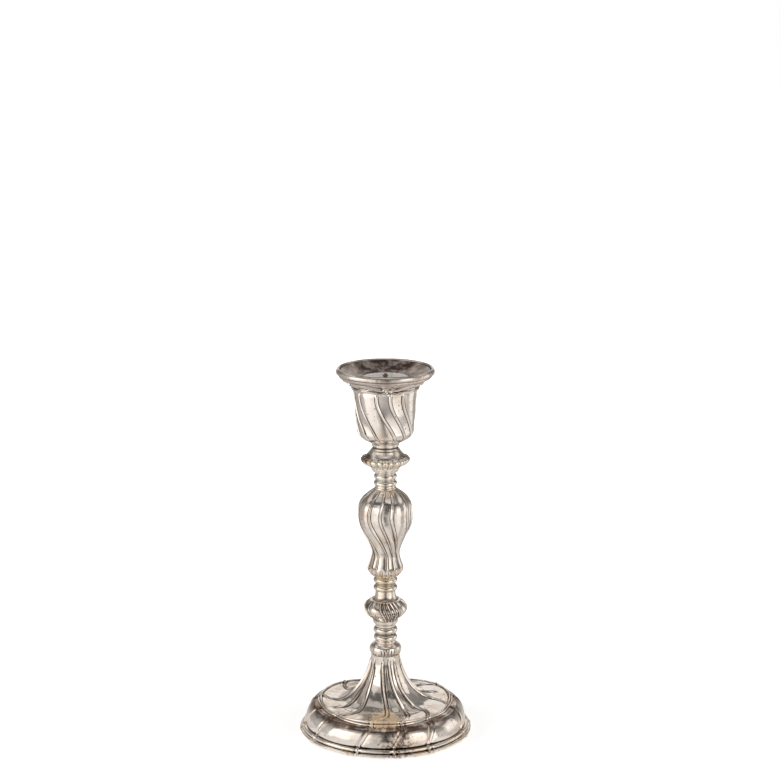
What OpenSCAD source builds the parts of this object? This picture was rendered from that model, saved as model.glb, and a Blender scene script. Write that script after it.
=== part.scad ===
// Candlestick with a ribbed foot, a swirling baluster and a fluted cup.
// The turned and cast pieces are threaded on one tie rod and clamped between two nuts.
// The nozzle, a candle tube in a drip pan, stands loose in the cup and lifts out.
// Millimetres, +Z up, origin at the middle of the face it stands on.

/* [Overall] */
// Height of the whole candlestick, which the baluster's body makes up
stick_h = 180; // [170:0.5:230]

/* [Foot] */
// Diameter over the lower step of the foot rim
foot_d = 83.4; // [76:0.2:110]
// Height of the lower step of the rim
rim_step_h = 1.7; // [1.2:0.1:3]
// How far the rim bead sits in from the lower step
rim_step_in = 1.1; // [0.6:0.1:1.6]
// Height of the rim bead
rim_bead_h = 2.0; // [1.2:0.1:3]
// Rounding of the rim's edges
rim_edge = 0.4; // [0.2:0.05:0.5]
// Width of the rim that is left around the base plate
rim_foot_w = 2.4; // [2:0.1:2.8]
// How far the skirt sits in from the rim bead
skirt_in = 2.0; // [1.4:0.1:2.6]
// Depth of the groove at the foot of the skirt
groove_depth = 0.5; // [0.2:0.05:0.6]
// Height of the skirt
skirt_h = 9.3; // [7:0.1:14]
// How far the skirt draws in towards its top
skirt_crown = 4.2; // [3:0.1:7]
// Height of the upright step at the top of the skirt
ledge_step = 0.9; // [0.5:0.1:1.5]
// Rise from the step to the ledge
ledge_rise = 1.2; // [0.6:0.1:3]
// Greatest width of the band between the skirt and the ledge
ledge_band = 4.0; // [2:0.1:5]
// Width of that band at the ledge's cusps
ledge_cusp = 1.1; // [0.6:0.1:1.6]
// How far the ledge bows out between two cusps
ledge_lobe = 1.8; // [0:0.1:2.2]
// How far the ledge's edge stands above the foot of the trumpet
ledge_edge = 0.5; // [0.2:0.05:0.8]
// Height of the trumpet
flare_h = 23.6; // [18:0.1:32]
// Diameter of the trumpet at its top
waist_d = 13.8; // [12:0.1:18]
// Wall of the foot
shell_wall = 1.6; // [1.2:0.1:2]

/* [Base closing] */
// Thickness of the felt
felt_t = 1.0; // [0.6:0.1:2]
// How far the felt stands below the rim
felt_stand = 0.4; // [0.2:0.05:0.5]
// How far the felt's edge sits in from the plate's edge
felt_inset = 0.8; // [0.4:0.1:3]
// Thickness of the base plate
plate_t = 1.2; // [0.8:0.1:1.6]
// Gap around the base plate's edge
plate_gap = 0.1; // [0.05:0.05:0.3]
// Gap between the filling and what it is cast into
filling_gap = 0.3; // [0.1:0.05:0.5]

/* [Stem] */
// Height of the collar above the trumpet
collar_h = 6.0; // [4.5:0.1:9]
// Diameter of the collar
collar_d = 15.2; // [14:0.1:20]
// Height of the lower ringed spool
lower_spool_h = 9.0; // [7:0.1:14]
// Height of the middle ringed spool
middle_spool_h = 7.8; // [6:0.1:14]
// Height of the upper ringed spool
upper_spool_h = 7.0; // [6:0.1:14]
// How far a spool's rings stand out
ring_rise = 1.0; // [0.5:0.1:2]
// Height of the lower knop below its widest line
lower_knop_rise = 8.0; // [6:0.1:12]
// Height of the lower knop above its widest line
lower_knop_fall = 8.2; // [6:0.1:12]
// Diameter of the lower knop
lower_knop_d = 21.0; // [16:0.1:28]
// Height of the upper knop below its widest line
upper_knop_rise = 6.5; // [5:0.1:10]
// Height of the upper knop above its widest line
upper_knop_fall = 4.9; // [4:0.1:9]
// Diameter of the upper knop
upper_knop_d = 23.4; // [18:0.1:30]

/* [Baluster] */
// Rise from the baluster's foot to its lip
lip_h = 4.6; // [3:0.1:7]
// Diameter of the lip
lip_d = 17.2; // [14:0.1:22]
// Rise from the lip to the waist
lip_to_waist = 6.6; // [4:0.1:10]
// Diameter at the waist
baluster_waist_d = 13.0; // [12.4:0.1:18]
// Diameter at the belly
belly_d = 26.8; // [20:0.1:36]
// Rise from the belly to the top
shoulder_h = 12.8; // [9:0.1:20]

/* [Cup] */
// Height of the neck under the cup
neck_h = 3.4; // [2.6:0.1:6]
// Diameter of the neck at both ends
neck_d = 14.0; // [12.4:0.1:18]
// Depth of the hollow around the neck
neck_hollow = 0.9; // [0.3:0.1:1.2]
// Height of the cup's rounded bowl
bowl_h = 5.5; // [4.5:0.1:9]
// Thickness of the cup's floor
cup_floor_t = 3.2; // [2.8:0.1:4]
// Wall of the cup above its bowl
cup_wall = 1.7; // [1.4:0.1:3]
// How far the cup opens out towards its top
cup_flare = 2.0; // [0.5:0.1:4]
// Height of the ornamental border around the cup's top
border_h = 2.1; // [1.8:0.1:5]
// How far the border stands out from the cup
border_out = 1.1; // [0.5:0.1:2]
// Wall of the cup's upstand inside the border
upstand_wall = 1.0; // [0.8:0.1:1.4]
// How far the upstand stays below the border's top
upstand_drop = 0.6; // [0.3:0.1:1]

/* [Nozzle] */
// Diameter of the candle hole
candle_d = 21.5; // [19:0.1:25]
// Depth of the candle hole
candle_depth = 20; // [14:0.5:30]
// Wall of the candle tube
tube_wall = 0.45; // [0.4:0.05:1]
// Thickness of the tube's floor
tube_floor_t = 0.8; // [0.6:0.1:2]
// Gap between the tube and the cup
socket_gap = 0.35; // [0.3:0.05:0.6]
// Gap between the tube's floor and the end of the tie rod
tube_gap = 1.7; // [1:0.1:4]
// Width of the tube's flange
flange_w = 1.0; // [0.8:0.1:2]
// Thickness of the tube's flange
flange_t = 0.6; // [0.4:0.1:1]
// Gap between the tube and the pan's hole
flange_gap = 0.05; // [0.02:0.01:0.1]
// Thickness of the drip pan around the tube
pan_floor_t = 3.4; // [2.5:0.1:5]
// How far the pan reaches beyond the border
pan_out = 7.0; // [5:0.1:12]
// Height of the cove under the pan's lip
pan_cove_h = 4.7; // [4:0.1:8]
// Height of the pan's lip
pan_lip_h = 3.3; // [2.4:0.1:5]
// Width of the pan's rounded lip
pan_lip_w = 1.4; // [1:0.1:2.4]
// Diameter of the pin hole in the tube
pin_hole_d = 1.5; // [1:0.1:2]
// Depth of the pin hole below the flange
pin_hole_drop = 1.8; // [1.6:0.1:4]

/* [Tie rod] */
// Diameter of the tie rod
rod_d = 5; // [4:0.1:6]
// Gap around the rod in the pieces threaded on it
rod_gap = 0.2; // [0.1:0.05:0.4]
// How far the rod stands out of each nut
rod_end = 0.8; // [0.5:0.1:2]
// Gap between the nuts' threads and the rod
thread_gap = 0.05; // [0.02:0.01:0.1]
// Width of the nuts across their flats
nut_flats = 8; // [7:0.1:10]
// Height of the nuts
nut_h = 4; // [3:0.1:5]
// Diameter of the washers
washer_d = 10; // [9.5:0.1:12]
// Thickness of the washers
washer_t = 0.9; // [0.6:0.1:1.6]
// Diameter of the lock washer
lock_washer_d = 9; // [8:0.1:10]
// Thickness of the lock washer
lock_washer_t = 1.2; // [0.8:0.1:2]
// Gap between the rod's foot and the felt
rod_foot_gap = 0.6; // [0.3:0.1:1.5]
// Room around the nuts in their wells
nut_room = 1.3; // [0.8:0.1:2]

/* [Seams of the stem] */
// Wall of the spigots that centre one piece on the next
spigot_wall = 0.9; // [0.7:0.1:1.2]
// Height of the spigots
spigot_h = 1.4; // [1:0.1:2]
// Gap around the spigots
spigot_gap = 0.08; // [0.05:0.01:0.15]
// Gap above the spigots
spigot_end_gap = 0.3; // [0.2:0.05:0.5]
// Width of the seam that carries one piece on the next
seam_land = 1.15; // [0.9:0.05:1.6]

/* [Ribs] */
// Groups of ribs around a ribbed piece
rib_groups = 4; // [3:1:5]
// Angle of the two narrow panels in each group
narrow_panel = 25.6; // [22:0.2:30]
// Half the angle that a rib takes up
rib_half_angle = 2.6; // [1.5:0.1:4]
// Turn of the foot's ribs from the front, at the ledge
foot_turn = 13; // [0:1:89]
// Turn of the lower knop's flutes from the front
knop_turn = 8; // [-45:1:45]
// Turn of the baluster's flutes from the front, at the belly
baluster_turn = -12; // [-45:1:45]
// Turn of the cup's flutes from the front, at the top
cup_turn = 9; // [-45:1:45]
// How far the ribs stand out
rib_h = 0.45; // [0.2:0.05:0.6]
// How far the wide panels swell
panel_swell = 0.45; // [0.1:0.05:0.6]
// How deep the narrow flutes are
flute_depth = 0.35; // [0.1:0.05:0.4]
// Sweep of the ribs up the skirt
skirt_sweep = 7; // [0:1:20]
// Sweep of the ribs along the trumpet
flare_sweep = 11; // [0:1:20]
// Sweep of the flutes on the lower knop
knop_sweep = 36; // [0:1:60]
// Sweep of the flutes on the baluster below its belly
baluster_sweep = 46; // [0:1:70]
// Sweep of the flutes on the baluster's shoulder
shoulder_sweep = 12; // [0:1:30]
// Sweep of the flutes on the cup
cup_sweep = 36; // [0:1:60]

/* [Hidden] */
$fn = 96;
// Overshoot of cuts through a face
cut = 1;
// Steps along each curved stretch of an outline
curve_steps = 7;
// Points across a wide and a narrow panel
wide_points = 6;
narrow_points = 4;
// Share of a fluted piece's height over which its relief fades at each end
relief_fade = 0.12;
// Shares of the trumpet's sweep over which its relief fades below and above
flare_fade_low = 0.1;
flare_fade_high = 0.2;
// Bends of the outlines, as the function bend takes them
even_bend = 0;
collar_low_bend = -2;
collar_top_bend = 2.4;
lip_bend = -2.4;
waist_bend = -2;
shoulder_bend = 2.4;
knop_top_bend = 1.8;
bowl_bend = -2;
cup_bend = 1.3;
dish_bend = 1.7;
// Bends of the sweeps
cup_sweep_bend = 1.7;
baluster_sweep_bend = 1.6;
shoulder_sweep_bend = 1.5;
// Direction of the front, in degrees
front = -90;
// Part of the trumpet's quarter ellipse that is hollow, in degrees
hollow_end = 72;
// How far the pan's lip rolls over, in degrees
lip_roll = 130;

// Colours
silver = [0.77, 0.75, 0.71];
dark_silver = [0.55, 0.51, 0.48];
steel = [0.62, 0.63, 0.65];
plaster = [0.88, 0.86, 0.80];
felt = [0.16, 0.24, 0.18];

// Radii of the rod's bore and of the stem's seams
bore_r = rod_d / 2 + rod_gap;
spigot_r = bore_r + spigot_wall;
socket_r = spigot_r + spigot_gap;
socket_depth = spigot_h + spigot_end_gap;
seam_r = socket_r + seam_land;

// Radii and heights of the foot
rim_r = foot_d / 2;
bead_r = rim_r - rim_step_in;
skirt_r = bead_r - skirt_in;
crown_r = skirt_r - skirt_crown;
ledge_r = crown_r - ledge_band;
cusp_r = ledge_r + ledge_cusp;
flare_r = ledge_r - ledge_edge;
waist_r = waist_d / 2;
rim_z = felt_stand;
bead_z = rim_z + rim_step_h;
skirt_z = bead_z + rim_bead_h;
crown_z = skirt_z + skirt_h;
ledge_z = crown_z + ledge_step + ledge_rise;
flare_z = ledge_z - ledge_edge;
waist_z = flare_z + flare_h;

// Plate, well for the foot nut, and the rod's foot
rebate_r = rim_r - rim_foot_w;
plate_r = rebate_r - plate_gap;
plate_top = felt_t + plate_t;
rod_foot_z = felt_t + rod_foot_gap;
foot_nut_z = rod_foot_z + rod_end;
lock_washer_z = foot_nut_z + nut_h;
foot_washer_z = lock_washer_z + lock_washer_t;
well_roof_z = foot_washer_z + washer_t;
nut_corner_r = nut_flats / 2 / cos(30);
well_r = max(washer_d / 2, nut_corner_r) + nut_room;

// Heights of the seams below the baluster, from the foot up
collar_z = waist_z;
lower_spool_z = collar_z + collar_h;
lower_knop_z = lower_spool_z + lower_spool_h;
lower_knop_h = lower_knop_rise + lower_knop_fall;
middle_spool_z = lower_knop_z + lower_knop_h;
baluster_z = middle_spool_z + middle_spool_h;

// Heights of the nozzle, of the nut in the cup and of the cup's floor, from the top down
pan_lip_z = stick_h - pan_lip_h;
pan_z = pan_lip_z - pan_cove_h;
flange_top_z = pan_z + pan_floor_t;
candle_floor_z = flange_top_z - candle_depth;
tube_z = candle_floor_z - tube_floor_t;
rod_top_z = tube_z - tube_gap;
cup_nut_z = rod_top_z - rod_end - nut_h;
cup_floor_z = cup_nut_z - washer_t;

// Heights of the cup and of the seams above the baluster, from the top down
border_z = pan_z - border_h;
upstand_top_z = pan_z - upstand_drop;
cup_z = cup_floor_z - cup_floor_t;
bowl_top_z = cup_z + bowl_h;
neck_z = cup_z - neck_h;
upper_knop_z = neck_z - upper_knop_fall - upper_knop_rise;
upper_spool_z = upper_knop_z - upper_spool_h;

// The baluster fills the height between the two spools
baluster_h = upper_spool_z - baluster_z;
waist_to_belly = baluster_h - lip_h - lip_to_waist - shoulder_h;

// Radii of the nozzle and the cup, from the candle out
candle_r = candle_d / 2;
tube_r = candle_r + tube_wall;
cup_bore_r = tube_r + socket_gap;
cup_low_r = cup_bore_r + cup_wall;
cup_top_r = cup_low_r + cup_flare;
border_r = cup_top_r + border_out;
upstand_r = cup_bore_r + upstand_wall;
flange_r = tube_r + flange_w;
pan_r = border_r + pan_out;
pan_hole_r = tube_r + flange_gap;

// Share of the way from one radius to the next
// A power of 0 is even, a positive one turns late and a negative one turns early
function bend(t, power) =
    power == 0 ? (1 - cos(180 * t)) / 2 :
    power > 0 ? pow(t, power) : 1 - pow(1 - t, -power);

// Outline of a turned piece as [height, radius] through keys of [height, radius, bend towards it]
function turned(keys, steps = curve_steps) = concat(
    [[keys[0][0], keys[0][1]]],
    [for (k = [1 : len(keys) - 1]) for (i = [1 : steps])
        let (t = i / steps, a = keys[k - 1], b = keys[k])
        [a[0] + (b[0] - a[0]) * t, a[1] + (b[1] - a[1]) * bend(t, b[2])]]
);

// Panels of one group: start angle, width and whether it is the wide one
group_angle = 360 / rib_groups;
wide_panel = group_angle - 2 * narrow_panel;
panels = [
    [-narrow_panel, narrow_panel, false],
    [0, narrow_panel, false],
    [narrow_panel, wide_panel, true]
];

// Angles of the ribs, and of the ledge's cusps, over which two of every four ribs run
rib_angles = [for (group = [0 : rib_groups - 1]) for (side = [-1 : 1]) group_angle * group + narrow_panel * side];
cusps = [for (i = [0 : len(rib_angles) - 1]) if (i % 4 > 1) rib_angles[i]];

// Share of the ledge's bow at an angle: none at the cusps, all midway across a lobe as wide as a group
function lobe(angle) =
    let (low = max([for (c = cusps) for (turn = [-360, 0]) if (c + turn <= angle) c + turn]))
    let (high = min([for (c = cusps) for (turn = [0, 360]) if (c + turn > angle) c + turn]))
    sin(180 * (angle - low) / (high - low)) * pow(min(1, (high - low) / group_angle), 2);

// Points around a ribbed piece, each with its angle and its shares of the rib,
// of the wide panel's swell, of the narrow panel's swell and of the ledge's lobes
rib_pattern = [for (group = [0 : rib_groups - 1]) for (p = panels)
    let (count = p[2] ? wide_points : narrow_points, clear = p[1] - 2 * rib_half_angle)
    for (i = [0 : count - 1])
        let (t = i == 0 ? 0 : (i - 1) / (count - 2))
        let (arch = i == 0 ? 0 : sin(180 * t))
        let (angle = p[0] + (i == 0 ? 0 : rib_half_angle + clear * t))
        [
            front + group_angle * group + angle,
            i == 0 ? 1 : 0,
            p[2] ? arch : 0,
            p[2] ? 0 : arch,
            lobe(group_angle * group + angle)
        ]
];

// Solid through rows of [height, radius, turn, rib, swell of wide panels, swell of narrow panels, lobes]
module ribbed(rows) {
    around = len(rib_pattern);
    last = len(rows) - 1;
    points = [for (row = rows) for (p = rib_pattern)
        let (r = row[1] + row[3] * p[1] + row[4] * p[2] + row[5] * p[3] + row[6] * p[4], a = p[0] + row[2])
        [r * cos(a), r * sin(a), row[0]]];
    sides = [for (k = [0 : last - 1]) for (i = [0 : around - 1])
        let (j = (i + 1) % around, low = k * around, high = low + around)
        each [[low + i, high + i, high + j], [low + i, high + j, low + j]]];
    bottom = [for (i = [0 : around - 1]) i];
    top = [for (i = [around - 1 : -1 : 0]) last * around + i];
    polyhedron(points = points, faces = concat([bottom], sides, [top]), convexity = 6);
}

// Solid turned from an outline of [height, radius]
module turned_solid(outline) {
    last = len(outline) - 1;
    rotate_extrude()
        polygon(concat(
            [[0, outline[0][0]]],
            [for (p = outline) [p[1], p[0]]],
            [[0, outline[last][0]]]
        ));
}

// Bore for the tie rod through a piece
module rod_bore(z, h) {
    translate([0, 0, z - cut]) cylinder(r = bore_r, h = h + 2 * cut);
}

// Socket in the underside of a piece
module socket_below(z) {
    translate([0, 0, z - cut]) cylinder(r = socket_r, h = socket_depth + cut);
}

// Socket in the top of a piece
module socket_above(z) {
    translate([0, 0, z - socket_depth]) cylinder(r = socket_r, h = socket_depth + cut);
}

// Spigot that reaches from a piece across a seam into the next one
module spigot(z) {
    translate([0, 0, z - spigot_h]) cylinder(r = spigot_r, h = 2 * spigot_h);
}

// Fades relief in and out over a share of the height at each end
function fade(t, low, high) = min(1, t / low, (1 - t) / high);

// Ringed spool with two rings and a spigot at each end
module ringed_spool(z, h) {
    steps = 4 * curve_steps;
    outline = [for (i = [0 : steps])
        let (t = i / steps)
        [z + h * t, seam_r + ring_rise * (1 - cos(720 * t)) / 2]];
    difference() {
        union() {
            turned_solid(outline);
            spigot(z);
            spigot(z + h);
        }
        rod_bore(z - spigot_h, h + 2 * spigot_h);
    }
}

// Hex nut on the tie rod
module hex_nut(z) {
    translate([0, 0, z])
        difference() {
            cylinder(r = nut_corner_r, h = nut_h, $fn = 6);
            translate([0, 0, -cut]) cylinder(r = rod_d / 2 + thread_gap, h = nut_h + 2 * cut);
        }
}

// Flat washer on the tie rod
module flat_washer(z, d, t) {
    translate([0, 0, z])
        difference() {
            cylinder(r = d / 2, h = t);
            translate([0, 0, -cut]) cylinder(r = bore_r, h = t + 2 * cut);
        }
}

// Hollow of the foot, set in from its outside
module foot_hollow(inset) {
    skirt_curve = [for (i = [0 : curve_steps])
        let (a = 90 * i / curve_steps)
        [cusp_r - inset + (skirt_r - cusp_r) * cos(a), skirt_z + (skirt_h - inset) * sin(a)]];
    flare_curve = [for (i = [0 : 2 * curve_steps])
        let (a = hollow_end * i / (2 * curve_steps))
        [
            flare_r - (flare_r - waist_r + inset) * sin(a),
            waist_z - (flare_h + inset) * cos(a)
        ]];
    top_z = waist_z - (flare_h + inset) * cos(hollow_end);
    rotate_extrude()
        polygon(concat(
            [[0, plate_top], [skirt_r - inset, plate_top]],
            skirt_curve,
            flare_curve,
            [[0, top_z]]
        ));
}

// Outside of the foot, row by row from the rim to the top of the trumpet
function rim_rows() = [for (p = [
        [rim_z, rim_r - rim_edge],
        [rim_z + rim_edge, rim_r],
        [bead_z - rim_edge, rim_r],
        [bead_z, bead_r - groove_depth],
        [bead_z + rim_edge, bead_r],
        [skirt_z - rim_edge, bead_r],
        [skirt_z, bead_r - rim_edge],
        [skirt_z, skirt_r - groove_depth]
    ])
    [p[0], p[1], foot_turn - skirt_sweep, -rib_h, 0, 0, 0]];
function skirt_rows() = [for (i = [0 : curve_steps])
    let (a = 90 * i / curve_steps, up = sin(a))
    [
        skirt_z + groove_depth + (skirt_h - groove_depth) * up,
        cusp_r + (skirt_r - cusp_r) * cos(a),
        foot_turn + skirt_sweep * (up - 1),
        rib_h,
        panel_swell * cos(a),
        panel_swell * cos(a),
        (crown_r - cusp_r) * (1 - cos(a))
    ]];
function ledge_rows() = [
    [crown_z + ledge_step, cusp_r, foot_turn, 0, 0, 0, crown_r - cusp_r - groove_depth],
    [ledge_z, ledge_r + ledge_edge, foot_turn, 0, 0, 0, ledge_lobe],
    [ledge_z, ledge_r, foot_turn, 0, 0, 0, ledge_lobe]
];
function flare_rows() = [for (i = [0 : 2 * curve_steps])
    let (t = i / (2 * curve_steps), a = 90 * t, relief = fade(t, flare_fade_low, flare_fade_high))
    [
        waist_z - flare_h * cos(a),
        flare_r - (flare_r - waist_r) * sin(a),
        foot_turn + flare_sweep * sin(2 * a),
        rib_h * relief,
        -flute_depth * relief,
        -flute_depth * relief,
        0
    ]];

module base_shell() {
    color(silver)
        difference() {
            ribbed(concat(rim_rows(), skirt_rows(), ledge_rows(), flare_rows()));
            foot_hollow(shell_wall);
            translate([0, 0, rim_z - cut]) cylinder(r = rebate_r, h = plate_top - rim_z + cut);
            rod_bore(rim_z, waist_z - rim_z);
            socket_above(waist_z);
        }
}

module base_filling() {
    pocket_r = well_r + plate_t + filling_gap;
    pocket_top = well_roof_z + plate_t + filling_gap;
    color(plaster)
        difference() {
            foot_hollow(shell_wall + filling_gap);
            translate([0, 0, plate_top - cut]) cylinder(r = pocket_r, h = pocket_top - plate_top + cut);
            rod_bore(plate_top, waist_z - plate_top);
        }
}

module base_plate() {
    color(dark_silver)
        difference() {
            union() {
                translate([0, 0, felt_t]) cylinder(r = plate_r, h = plate_t);
                translate([0, 0, felt_t])
                    cylinder(r = well_r + plate_t, h = well_roof_z + plate_t - felt_t);
            }
            translate([0, 0, felt_t - cut]) cylinder(r = well_r, h = well_roof_z - felt_t + cut);
            rod_bore(felt_t, well_roof_z + plate_t - felt_t);
        }
}

module felt_pad() {
    color(felt) cylinder(r = plate_r - felt_inset, h = felt_t);
}

module tie_rod() {
    color(steel) translate([0, 0, rod_foot_z]) cylinder(r = rod_d / 2, h = rod_top_z - rod_foot_z);
}

module foot_nut() {
    color(steel) hex_nut(foot_nut_z);
}

module lock_washer() {
    color(steel) flat_washer(lock_washer_z, lock_washer_d, lock_washer_t);
}

module foot_washer() {
    color(steel) flat_washer(foot_washer_z, washer_d, washer_t);
}

module stem_collar() {
    widest = collar_z + collar_h / 2;
    top = collar_z + collar_h;
    color(silver)
        difference() {
            union() {
                turned_solid(turned([
                    [collar_z, waist_r],
                    [widest, collar_d / 2, collar_low_bend],
                    [top, seam_r, collar_top_bend]
                ]));
                spigot(collar_z);
            }
            rod_bore(collar_z - spigot_h, collar_h + spigot_h);
            socket_above(top);
        }
}

module lower_spool() {
    color(silver) ringed_spool(lower_spool_z, lower_spool_h);
}

module middle_spool() {
    color(silver) ringed_spool(middle_spool_z, middle_spool_h);
}

module upper_spool() {
    color(silver) ringed_spool(upper_spool_z, upper_spool_h);
}

// Fluted piece on the stem with a socket at each end
module fluted_piece(outline, z, h, turns) {
    rows = [for (i = [0 : len(outline) - 1])
        let (p = outline[i], relief = fade((p[0] - z) / h, relief_fade, relief_fade))
        [p[0], p[1], turns[i], rib_h * relief, panel_swell * relief, -flute_depth * relief, 0]];
    difference() {
        ribbed(rows);
        rod_bore(z, h);
        socket_below(z);
        socket_above(z + h);
    }
}

module lower_knop() {
    outline = turned([
        [lower_knop_z, seam_r],
        [lower_knop_z + lower_knop_rise, lower_knop_d / 2 - panel_swell, even_bend],
        [lower_knop_z + lower_knop_h, seam_r, even_bend]
    ]);
    widest = lower_knop_z + lower_knop_rise;
    turns = [for (p = outline) knop_turn + knop_sweep * (widest - p[0]) / lower_knop_h];
    color(silver) fluted_piece(outline, lower_knop_z, lower_knop_h, turns);
}

module baluster() {
    lip_z = baluster_z + lip_h;
    waist = lip_z + lip_to_waist;
    belly = waist + waist_to_belly;
    outline = turned([
        [baluster_z, seam_r],
        [lip_z, lip_d / 2 - rib_h, lip_bend],
        [waist, baluster_waist_d / 2, waist_bend],
        [belly, belly_d / 2 - panel_swell, even_bend],
        [baluster_z + baluster_h, seam_r, shoulder_bend]
    ]);
    turns = [for (p = outline)
        baluster_turn + (p[0] > belly ?
            shoulder_sweep * pow((p[0] - belly) / shoulder_h, shoulder_sweep_bend) :
            baluster_sweep * pow(min(1, (belly - p[0]) / waist_to_belly), baluster_sweep_bend))];
    color(silver) fluted_piece(outline, baluster_z, baluster_h, turns);
}

module upper_knop() {
    widest = upper_knop_z + upper_knop_rise;
    color(silver)
        difference() {
            turned_solid(turned([
                [upper_knop_z, seam_r],
                [widest, upper_knop_d / 2, even_bend],
                [neck_z, neck_d / 2, knop_top_bend]
            ]));
            rod_bore(upper_knop_z, neck_z - upper_knop_z);
            socket_below(upper_knop_z);
            socket_above(neck_z);
        }
}

module cup_neck() {
    middle = neck_z + neck_h / 2;
    color(silver)
        difference() {
            union() {
                turned_solid(turned([
                    [neck_z, neck_d / 2],
                    [middle, neck_d / 2 - neck_hollow, even_bend],
                    [cup_z, neck_d / 2, even_bend]
                ]));
                spigot(neck_z);
                spigot(cup_z);
            }
            rod_bore(neck_z - spigot_h, neck_h + 2 * spigot_h);
        }
}

module socket_cup() {
    outline = turned([
        [cup_z, neck_d / 2],
        [bowl_top_z, cup_low_r, bowl_bend],
        [border_z, cup_top_r, cup_bend]
    ]);
    cup_h = border_z - cup_z;
    rows = [for (p = outline)
        let (t = (p[0] - cup_z) / cup_h, relief = fade(t, relief_fade, relief_fade))
        [
            p[0], p[1], cup_turn + cup_sweep * pow(1 - t, cup_sweep_bend),
            rib_h * relief, panel_swell * relief, -flute_depth * relief, 0
        ]];
    color(silver)
        difference() {
            union() {
                ribbed(rows);
                translate([0, 0, bowl_top_z]) cylinder(r = upstand_r, h = upstand_top_z - bowl_top_z);
            }
            rod_bore(cup_z, cup_floor_t);
            socket_below(cup_z);
            translate([0, 0, cup_floor_z]) cylinder(r = well_r, h = upstand_top_z - cup_floor_z);
            translate([0, 0, bowl_top_z]) cylinder(r = cup_bore_r, h = upstand_top_z - bowl_top_z + cut);
        }
}

module cup_border() {
    color(silver)
        difference() {
            turned_solid(turned([
                [border_z, cup_top_r],
                [border_z + border_h / 2, border_r, even_bend],
                [pan_z, border_r, even_bend]
            ]));
            translate([0, 0, border_z - cut]) cylinder(r = upstand_r + spigot_gap, h = border_h + 2 * cut);
        }
}

module cup_washer() {
    color(steel) flat_washer(cup_floor_z, washer_d, washer_t);
}

module cup_nut() {
    color(steel) hex_nut(cup_nut_z);
}

module nozzle_pan() {
    lip_mid = pan_r - pan_lip_w / 2;
    under = turned([
        [pan_z, border_r],
        [pan_lip_z, pan_r, even_bend]
    ]);
    lip = [for (i = [1 : curve_steps])
        let (a = lip_roll * i / curve_steps)
        [lip_mid + pan_lip_w / 2 * cos(a), pan_lip_z + pan_lip_h * sin(a)]];
    dish_r = lip[curve_steps - 1][0];
    dish_z = lip[curve_steps - 1][1];
    dish = [for (i = [1 : curve_steps])
        let (t = i / curve_steps)
        [dish_r + (flange_r - dish_r) * t, flange_top_z + (dish_z - flange_top_z) * pow(1 - t, dish_bend)]];
    color(dark_silver)
        difference() {
            rotate_extrude()
                polygon(concat(
                    [[0, pan_z]],
                    [for (p = under) [p[1], p[0]]],
                    lip,
                    dish,
                    [[0, flange_top_z]]
                ));
            translate([0, 0, pan_z - cut]) cylinder(r = pan_hole_r, h = pan_floor_t + 2 * cut);
            translate([0, 0, flange_top_z - flange_t])
                cylinder(r = flange_r + flange_gap, h = flange_t + cut);
        }
}

module nozzle_tube() {
    color(silver)
        difference() {
            union() {
                translate([0, 0, tube_z]) cylinder(r = tube_r, h = flange_top_z - tube_z);
                translate([0, 0, flange_top_z - flange_t]) cylinder(r = flange_r, h = flange_t);
            }
            translate([0, 0, candle_floor_z]) cylinder(r = candle_r, h = candle_depth + cut);
            translate([0, 0, flange_top_z - pin_hole_drop])
                rotate([-90, 0, 0]) cylinder(d = pin_hole_d, h = tube_r + cut);
        }
}

base_shell();
base_filling();
base_plate();
felt_pad();
tie_rod();
foot_nut();
lock_washer();
foot_washer();
stem_collar();
lower_spool();
lower_knop();
middle_spool();
baluster();
upper_spool();
upper_knop();
cup_neck();
socket_cup();
cup_border();
cup_washer();
cup_nut();
nozzle_pan();
nozzle_tube();
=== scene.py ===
"""Looks of a worn silver plated candlestick: ribbed foot, ringed stem, swirled baluster, cup, nozzle."""

from math import atan2, cos, degrees, hypot, pi, radians, sin, sqrt

import bmesh
import bpy
import numpy as np
from mathutils import Euler, Matrix, Vector, noise


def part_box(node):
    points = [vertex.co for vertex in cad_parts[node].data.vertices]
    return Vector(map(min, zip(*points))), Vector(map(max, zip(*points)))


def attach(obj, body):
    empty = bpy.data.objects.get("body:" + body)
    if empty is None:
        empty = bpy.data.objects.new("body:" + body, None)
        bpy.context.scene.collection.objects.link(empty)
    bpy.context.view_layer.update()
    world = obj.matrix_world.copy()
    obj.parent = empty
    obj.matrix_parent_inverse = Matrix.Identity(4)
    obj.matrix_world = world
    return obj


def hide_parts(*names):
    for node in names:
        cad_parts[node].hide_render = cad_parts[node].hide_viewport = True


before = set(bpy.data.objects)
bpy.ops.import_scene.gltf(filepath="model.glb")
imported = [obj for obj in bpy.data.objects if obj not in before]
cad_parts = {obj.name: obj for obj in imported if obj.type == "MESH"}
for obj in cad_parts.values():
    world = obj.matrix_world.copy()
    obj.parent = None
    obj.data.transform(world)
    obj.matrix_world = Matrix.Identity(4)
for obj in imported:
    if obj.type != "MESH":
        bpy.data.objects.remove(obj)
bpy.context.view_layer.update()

# Outlines, reliefs and places below are in millimetres, and the frame is in metres
MM = 0.001


def bottom(node):
    """Height of a CAD node's lowest point."""
    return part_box(node)[0].z / MM


def top(node):
    """Height of a CAD node's highest point."""
    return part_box(node)[1].z / MM


def radius(node):
    """Greatest radius of a CAD node around the stem's axis."""
    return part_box(node)[1].x / MM


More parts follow.
